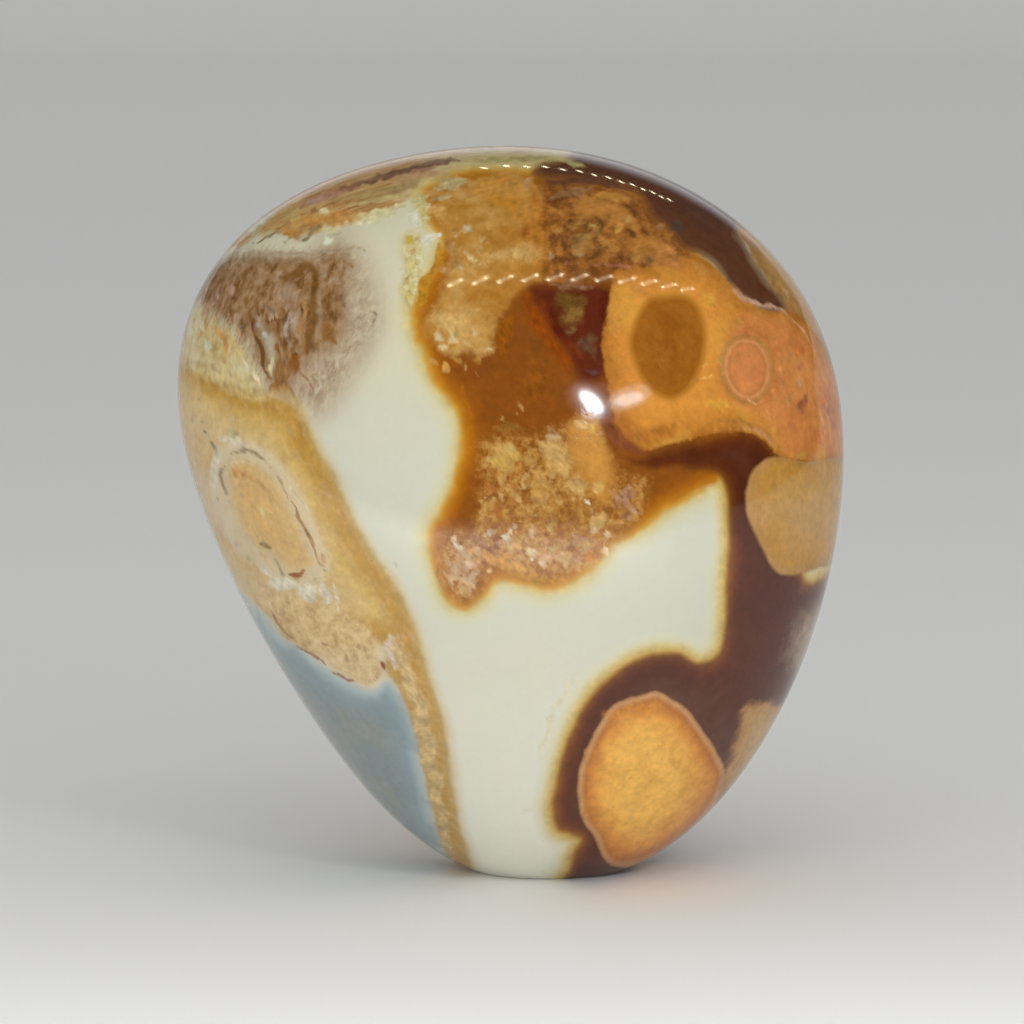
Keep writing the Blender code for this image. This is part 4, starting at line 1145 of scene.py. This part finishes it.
brush((0.47, 0.21, 0.1), 0.4, [(46.2, 76.6), (47.4, 73), (48, 69)], cover=0.6)
brush((0.6, 0.3, 0.14), 0.5, [(46.2, 72), (46.6, 68), (46.4, 65.4)],
      [(47.3, 71), (47.6, 67), (47.4, 64.4)], cover=0.55)
brush((0.3, 0.095, 0.04), 1.6, [(43.8, 72.7), (43.6, 70.4), (43.8, 69)], soft=1.4)
brush((0.5, 0.26, 0.17), 0.5, [(43.3, 69.5)], [(43.2, 73.6), (43.2, 74.2)], cover=0.75)
brush((0.42, 0.24, 0.07), 1.0, [(41.2, 72.2), (41.6, 70.8)], cover=0.75, soft=1.0)
brush((0.45, 0.16, 0.045), 0.7, [(45.2, 65.5), (46.8, 64.3)], cover=0.75)
brush((0.44, 0.215, 0.05), 0.7, [(44.8, 63.3), (43.2, 62.9), (41.8, 63.2)], cover=0.75)
brush((0.4, 0.165, 0.035), 1.0, [(30, 68.3), (34, 68.5), (37, 67.3), (39.4, 65.2)], cover=0.7, soft=0.9)
brush((0.5, 0.245, 0.12), 0.4, [(30.4, 67), (34.6, 67.3), (37, 66.7), (39.2, 65), (40.4, 63.6)],
      cover=0.85)
brush((0.5, 0.19, 0.03), 2.0, [(20, 66.2), (24, 67.2), (28, 68.2)], cover=0.6, soft=1.6)
brush((0.4, 0.14, 0.02), 3.0, [(16, 70.4), (17.4, 67.4), (20.4, 66), (24, 66.6)], cover=0.65, soft=2.4)
brush((0.2, 0.06, 0.02), 2.2, [(13.6, 71), (14.6, 67.6), (16.4, 65), (19.6, 63.4)], cover=0.85,
      soft=1.6)
brush((0.35, 0.14, 0.03), 1.2, [(18, 67.2), (18.8, 65.6)], cover=0.7, soft=1.0)

# Three orbs in the liver-brown: tan at the right rim, a large golden one at the foot, and remnants.
zone("tan_orb", [
    (38, 62.4), (36.2, 60.8), (35.2, 57.8), (35.4, 54.6), (36.7, 51.2), (38.2, 48.4), (39.6, 45.9),
    (42, 45.4), (45, 46.1), (48.4, 46.9), (56, 47), (58, 60), (50, 62.6), (47, 62.4), (44.6, 62),
    (42, 62.4), (40.2, 62.8),
])
tan_orb, tan_orb_cover = shades(
    depth_of("tan_orb", 0.35, mottle),
    (-0.45, (0.22, 0.09, 0.03), 0.0), (0.1, (0.38, 0.19, 0.045)), (1.4, (0.445, 0.22, 0.04)),
    (3.2, (0.46, 0.24, 0.052)), (6.5, (0.465, 0.26, 0.08)),
)
tan_orb = mixed(tan_orb, (0.47, 0.265, 0.10), product(from_to(cloud, 0.46, 0.66), 0.6))
colour = mixed(colour, tan_orb, tan_orb_cover)

zone("golden_orb", [
    (21.8, 27.7), (24, 26.5), (26.2, 25), (27.9, 22.8), (29.6, 20.4), (31.1, 17.8), (32, 15),
    (31.2, 12), (29.6, 9.4), (27.2, 6.8), (24.2, 4.4), (20.6, 2.4), (17, 1.4), (14.6, 2), (13.2, 4),
    (12.3, 6.2), (10.8, 8.2), (10, 11.5), (10, 15), (10.8, 18), (12, 20.8), (13.5, 23.4), (15, 25.4),
    (17.2, 26.6), (19.6, 27.2),
])
zone("golden_core", [
    (17, 22.6), (22, 22.4), (26.4, 18.6), (27.6, 14), (24.6, 8.6), (19.4, 5.8), (15.4, 7.6), (13.4, 12),
    (13.8, 17.6),
])
colour = lay(
    colour, "golden_orb", 0.22, mottle,
    (-0.35, (0.15, 0.05, 0.02), 0.0), (0.0, (0.38, 0.18, 0.07)), (0.35, (0.52, 0.28, 0.12)),
    (0.75, (0.5, 0.21, 0.065)), (1.1, (0.46, 0.155, 0.026)), (2.2, (0.6, 0.225, 0.036)),
    (3.6, (0.68, 0.29, 0.046)), (7.5, (0.73, 0.375, 0.065)),
)
core = product(spot("golden_core", 6.0, 2.0, ripple), from_to(mottle, 0.34, 0.60, 0.5, 1.0))
colour = mixed(colour, (0.82, 0.455, 0.092), product(core, 0.85))
brush((0.6, 0.5, 0.24), 1.4, [(10.6, 31), (7.4, 27), (5.2, 22), (4, 17)], cover=0.5, soft=1.6)
brush((0.56, 0.215, 0.03), 3.6, [(14.6, 24), (19, 25.4), (24, 24.2)], cover=0.6, soft=4.0)
brush((0.5, 0.19, 0.03), 0.9, [(10.9, 12), (10.8, 9.4), (12.6, 7)], [(10.8, 17), (12, 20)], cover=0.6,
      soft=1.0)
sprinkle("golden_core", (20, 14), (11, 13), 110, (0.3, 0.6), (0.64, 0.33, 0.055), (0.78, 0.47, 0.12),
         (0.64, 0.29, 0.05), cover=0.5)

zone("remnants", [
    (35.6, 25.6), (34.2, 21.6), (33, 17.4), (31.8, 13), (34, 10), (42, 18), (40.6, 25),
])
zone("pale_remnant", [
    (42.4, 34.6), (43.6, 38), (46, 40), (52, 40), (48, 31), (43, 31),
])
colour = lay(
    colour, "remnants", 1.0, mottle,
    (-1.0, (0.26, 0.12, 0.04), 0.0), (0.2, (0.42, 0.215, 0.07)), (1.6, (0.47, 0.27, 0.1)),
    (3.0, (0.5, 0.3, 0.12)), (4.2, (0.43, 0.22, 0.07)), (6.0, (0.54, 0.36, 0.17)),
)
colour = lay(
    colour, "pale_remnant", 1.4, mottle,
    (-2.2, (0.22, 0.13, 0.09), 0.0), (0.6, (0.36, 0.25, 0.16), 0.7), (2.4, (0.43, 0.33, 0.23), 0.8),
    (3.8, (0.33, 0.22, 0.14), 0.8), (5.5, (0.47, 0.39, 0.29), 0.8),
)

# All the zones and marks go into the skin. The marks' edges are a little crumbled.
MARK_CRUMBLE = 0.7
for first in range(0, len(depths), PACK_SIZE):
    trio = np.zeros((len(skin), PACK_SIZE), np.float32)
    for column, depth in enumerate(list(depths.values())[first : first + PACK_SIZE]):
        trio[:, column] = depth
    pack = stone_mesh.attributes.new(f"zones_{first // PACK_SIZE}", "FLOAT_VECTOR", "POINT")
    pack.data.foreach_set("vector", trio.ravel())
marked = stone_mesh.attributes.new("marks", "FLOAT_COLOR", "POINT")
marked.data.foreach_set("color", marks.astype(np.float32).ravel())
drawn = nodes.new("ShaderNodeAttribute")
drawn.attribute_name = "marks"
crumbled = sum_of(drawn.outputs["Alpha"], product(sum_of(crumb, -0.5), MARK_CRUMBLE))
colour = mixed(colour, drawn.outputs["Color"], from_to(crumbled, 0.2, 0.8))

# Everything but the porcelain-like cream is finely clouded. The cream is told by its blue.
DARKEST_CLOUD = -0.22
LIGHTEST_CLOUD = 0.16
CREAM_CLOUD = 0.1  # the share of it that shows in the cream
blueness = nodes.new("ShaderNodeSeparateColor")
links.new(colour, blueness.inputs["Color"])
clouded = nodes.new("ShaderNodeHueSaturation")
fine = sum_of(product(crumb, 0.55), product(mottle, 0.45))
light_and_dark = from_to(fine, 0.30, 0.70, DARKEST_CLOUD, LIGHTEST_CLOUD, smooth=False)
not_cream = from_to(blueness.outputs["Blue"], 0.12, 0.42, 1.0, CREAM_CLOUD)
feed(clouded.inputs["Value"], sum_of(product(light_and_dark, not_cream), 1.0))
links.new(colour, clouded.inputs["Color"])
colour = clouded.outputs["Color"]

# The polish is a mirror on the agate and a little duller on the crumbly grains, whose small pits
# the wheel doesn't reach.
AGATE_ROUGHNESS = 0.06
GRAIN_ROUGHNESS = 0.12
QUARTZ_IOR = 1.54
PIT_DEPTH = 0.05 * MM
PIT_STRENGTH = 0.25
feed(polish.inputs["Base Color"], colour)
crumbs = spot("crumble", 3.0)
feed(polish.inputs["Roughness"], from_to(crumbs, 0.0, 1.0, AGATE_ROUGHNESS, GRAIN_ROUGHNESS))
polish.inputs["IOR"].default_value = QUARTZ_IOR
polish.inputs["Metallic"].default_value = 0.0
pits = nodes.new("ShaderNodeBump")
pits.inputs["Strength"].default_value = PIT_STRENGTH
pits.inputs["Distance"].default_value = PIT_DEPTH
feed(pits.inputs["Height"], product(crumbs, from_to(crumb, 0.30, 0.46)))
links.new(pits.outputs["Normal"], polish.inputs["Normal"])
stone_mesh.materials.append(material)
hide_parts("jasper_freeform")
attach(stone, "root")

# The table
# A sheet of thick pale paper, matt and plain. It lies level under the stone and sweeps up far
# behind it, so that no edge shows.
SWEEP_WIDTH = 7.0
SWEEP_FRONT = -3.6
SWEEP_BEND = 1.9
SWEEP_RADIUS = 0.3
SWEEP_HEIGHT = 0.6
SWEEP_STEPS = 24
PAPER = (0.86, 0.85, 0.83, 1.0)
PAPER_ROUGHNESS = 0.8
sweep = bmesh.new()
front = [sweep.verts.new((side * SWEEP_WIDTH / 2, SWEEP_FRONT, 0.0)) for side in (-1, 1)]
strip = sweep.edges.new(front)
level = bmesh.ops.extrude_edge_only(sweep, edges=[strip])
moved = [item for item in level["geom"] if isinstance(item, bmesh.types.BMVert)]
bmesh.ops.translate(sweep, verts=moved, vec=(0.0, SWEEP_BEND - SWEEP_FRONT, 0.0))
far_edge = [item for item in level["geom"] if isinstance(item, bmesh.types.BMEdge)]
bend = bmesh.ops.spin(
    sweep, geom=far_edge, cent=(0.0, SWEEP_BEND, SWEEP_RADIUS), axis=(1, 0, 0), angle=math.pi / 2,
    steps=SWEEP_STEPS, use_merge=False, dvec=(0, 0, 0),
)
top_edge = [item for item in bend["geom_last"] if isinstance(item, bmesh.types.BMEdge)]
wall = bmesh.ops.extrude_edge_only(sweep, edges=top_edge)
moved = [item for item in wall["geom"] if isinstance(item, bmesh.types.BMVert)]
bmesh.ops.translate(sweep, verts=moved, vec=(0.0, 0.0, SWEEP_HEIGHT - SWEEP_RADIUS))
bmesh.ops.recalc_face_normals(sweep, faces=sweep.faces[:])
table_mesh = bpy.data.meshes.new("table")
sweep.to_mesh(table_mesh)
sweep.free()
table_mesh.shade_smooth()
table = bpy.data.objects.new("table", table_mesh)
bpy.context.collection.objects.link(table)
paper = bpy.data.materials.new("pale_paper")
paper.use_nodes = True
paper_shader = paper.node_tree.nodes["Principled BSDF"]
paper_shader.inputs["Base Color"].default_value = PAPER
paper_shader.inputs["Roughness"].default_value = PAPER_ROUGHNESS
table_mesh.materials.append(paper)

# The light
# A light tent: even white light from all round, dim only where the photographer's opening is. Two
# rows of small lamps hang in its roof, and a round lamp and a long one stand at the right of the
# opening. The polish mirrors them all.
SOFT_BOXES = (  # place, watts, width and height
    ((0.0, -0.9, 0.75), 1.1, 0.9, 0.6),
    ((-0.8, -0.7, 0.14), 1.7, 0.5, 0.24),
    ((0.8, -0.7, 0.14), 1.3, 0.5, 0.24),
    ((0.0, -1.0, 0.08), 1.1, 0.8, 0.14),
)
STONE_MIDDLE = Vector((0.0, 0.0, 0.055))


def hang(lamp_data, at, long_axis=None, towards=STONE_MIDDLE):
    """Hangs a lamp up so that it looks at the stone, its width along its long axis."""
    lamp = bpy.data.objects.new(lamp_data.name, lamp_data)
    bpy.context.collection.objects.link(lamp)
    away = (Vector(at) - towards).normalized()
    across = Vector(long_axis) if long_axis else Vector((0, 0, 1)).cross(away)
    across = (across - across.dot(away) * away).normalized()
    turn = Matrix((across, away.cross(across), away)).transposed()
    lamp.location = at
    lamp.rotation_euler = turn.to_euler()
    return lamp


for at, watts, width, height in SOFT_BOXES:
    box = bpy.data.lights.new("soft_box", "AREA")
    box.shape = "RECTANGLE"
    box.size = width
    box.size_y = height
    box.energy = watts
    hang(box, at).visible_glossy = False

# This one shines straight down before the stone. The sheet throws its light up under the belly.
wash = bpy.data.lights.new("floor_wash", "AREA")
wash.shape = "RECTANGLE"
wash.size = 0.6
wash.size_y = 0.25
wash.spread = math.radians(90)
wash.energy = 2.8
hang(wash, (0.0, -0.5, 0.45), (1, 0, 0), Vector((0.0, -0.5, 0.0))).visible_glossy = False

LAMP_TINT = (1.0, 0.94, 0.64)
ROW_HEIGHT = 0.45
FRONT_LAMPS = 22
FRONT_START = -0.088
FRONT_PITCH = 0.0215
FRONT_PLACE = -0.2045  # the row's way to the back, with its slant and its bow
FRONT_SLANT = 0.158
FRONT_BOW = 0.70
PAIR_GAP = 0.014  # between the two bulbs of a pair, and how it grows to the right
PAIR_GAP_GROWTH = 0.012
TUBE_SIZE = (0.030, 0.007)
TUBE_WATTS = 0.0026
BULB_RADIUS = 2.8 * MM
BULB_WATTS = 0.0100


def flat_lamp(name, at, long_axis, size, watts, tint, towards=STONE_MIDDLE):
    """A lamp with an oval, frosted face of that length and width."""
    data = bpy.data.lights.new(name, "AREA")
    data.shape = "ELLIPSE"
    data.size, data.size_y = size
    data.energy = watts
    data.color = tint
    hang(data, at, long_axis, towards)


# The front row is of small bulbs in pairs, each pair in its own frosted tube.
front_row = []
for number in range(FRONT_LAMPS):
    across = FRONT_START + FRONT_PITCH * number
    back = FRONT_PLACE + FRONT_SLANT * across + FRONT_BOW * across**2
    gap = PAIR_GAP + PAIR_GAP_GROWTH * across
    front_row.append(Vector((across, back + (number % 2 - 0.5) * gap, ROW_HEIGHT)))
for near, far in zip(front_row[::2], front_row[1::2]):
    flat_lamp("tube", (near + far) / 2, far - near, TUBE_SIZE, TUBE_WATTS, LAMP_TINT)
for at in front_row:
    bulb = bpy.data.lights.new("bulb", "POINT")
    bulb.shadow_soft_size = BULB_RADIUS
    bulb.energy = BULB_WATTS
    bulb.color = LAMP_TINT
    hang(bulb, at)

# The rear row is of long lamps, which lie across it, a little closer together towards the right.
REAR_LAMPS = 14
REAR_START = -0.017
REAR_PITCH = 0.0245
REAR_CLOSING = 0.0004
REAR_PLACE = 0.274
REAR_SLANT = 0.40
REAR_STAGGER = 0.012
LONG_AXIS = (-0.4, 1.0, 0.0)
LONG_SIZE = (0.016, 0.0042)
LONG_WATTS = 0.0031
for number in range(REAR_LAMPS):
    across = REAR_START + REAR_PITCH * number - REAR_CLOSING * number**2
    back = REAR_PLACE + REAR_SLANT * across + (number % 2 - 0.5) * REAR_STAGGER
    flat_lamp("long_lamp", (across, back, ROW_HEIGHT), LONG_AXIS, LONG_SIZE, LONG_WATTS, LAMP_TINT)

# At the right of the opening: the round lamp with the glow round it, then the long one with its
# own. Each line gives a place, the way it lies, its length and width, its watts and its colour.
GLARE_AIM = Vector((0.012, -0.028, 0.074))
for at, long_axis, size, watts, tint in (
    ((0.205, -0.420, 0.317), (0.77, 0.0, -0.64), (0.066, 0.034), 0.140, (0.93, 0.96, 1.0)),
    ((0.206, -0.422, 0.319), (0.77, 0.0, -0.64), (0.082, 0.048), 0.045, (0.86, 0.93, 1.0)),
    ((0.207, -0.423, 0.321), (0.80, 0.1, -0.50), (0.106, 0.068), 0.028, (0.80, 0.90, 1.0)),
    ((0.216, -0.424, 0.323), (0.85, 0.2, -0.30), (0.150, 0.092), 0.018, (0.72, 0.85, 1.0)),
    ((0.285, -0.376, 0.313), (0.80, 0.60, 0.05), (0.080, 0.026), 0.040, (0.78, 0.92, 1.0)),
    ((0.290, -0.376, 0.318), (0.80, 0.60, 0.15), (0.120, 0.050), 0.040, (0.85, 0.94, 1.0)),
):
    flat_lamp("glare", at, long_axis, size, watts, tint, GLARE_AIM)

# The tent's own glow. The opening is dim only in the polish, for it takes no light off the stone.
TENT_LIGHT = 0.55
OPENING_LIGHT = 0.03
RIM_LIGHT = 0.95
TENT_TINT = (0.97, 0.99, 1.0, 1.0)
MIRROR_TINT = (0.93, 0.95, 1.0, 1.0)
OPENING_END = 0.78  # the backward share of a mirrored ray where the opening ends
TENT_FULL = 0.97  # and where the tent shows in full
world = bpy.data.worlds.new("light_tent")
bpy.context.scene.world = world
world.use_nodes = True
tent = world.node_tree
glow = tent.nodes["Background"]
glow.inputs["Color"].default_value = TENT_TINT
glow.inputs["Strength"].default_value = TENT_LIGHT
mirrored = tent.nodes.new("ShaderNodeBackground")
mirrored.inputs["Color"].default_value = MIRROR_TINT
facing = tent.nodes.new("ShaderNodeSeparateXYZ")
tent.links.new(tent.nodes.new("ShaderNodeTexCoord").outputs["Generated"], facing.inputs["Vector"])
backwards = tent.nodes.new("ShaderNodeMapRange")
backwards.interpolation_type = "SMOOTHSTEP"
backwards.inputs["From Min"].default_value = OPENING_END
backwards.inputs["From Max"].default_value = TENT_FULL
backwards.inputs["To Min"].default_value = OPENING_LIGHT
backwards.inputs["To Max"].default_value = RIM_LIGHT
tent.links.new(facing.outputs["Y"], backwards.inputs["Value"])
tent.links.new(backwards.outputs["Result"], mirrored.inputs["Strength"])
choice = tent.nodes.new("ShaderNodeMixShader")
tent.links.new(tent.nodes.new("ShaderNodeLightPath").outputs["Is Glossy Ray"], choice.inputs["Fac"])
tent.links.new(glow.outputs["Background"], choice.inputs[1])
tent.links.new(mirrored.outputs["Background"], choice.inputs[2])
tent.links.new(choice.outputs["Shader"], tent.nodes["World Output"].inputs["Surface"])
bpy.context.scene.view_settings.view_transform = "Standard"

# The camera
# It stands before the stone and looks slightly down on it, as the photographer did, through a
# long lens that hardly foreshortens it.
SHOWN_WIDTH = 153.6 * MM
SENSOR = 36.0
eye = bpy.data.cameras.new("eye")
eye.sensor_width = SENSOR
eye.lens = SENSOR * SIGHT_DISTANCE / SHOWN_WIDTH
camera = bpy.data.objects.new("eye", eye)
bpy.context.collection.objects.link(camera)
camera.location = SIGHT_AIM - SIGHT_DISTANCE * sight_line
camera.rotation_euler = sight_line.to_track_quat("-Z", "Y").to_euler()
bpy.context.scene.camera = camera
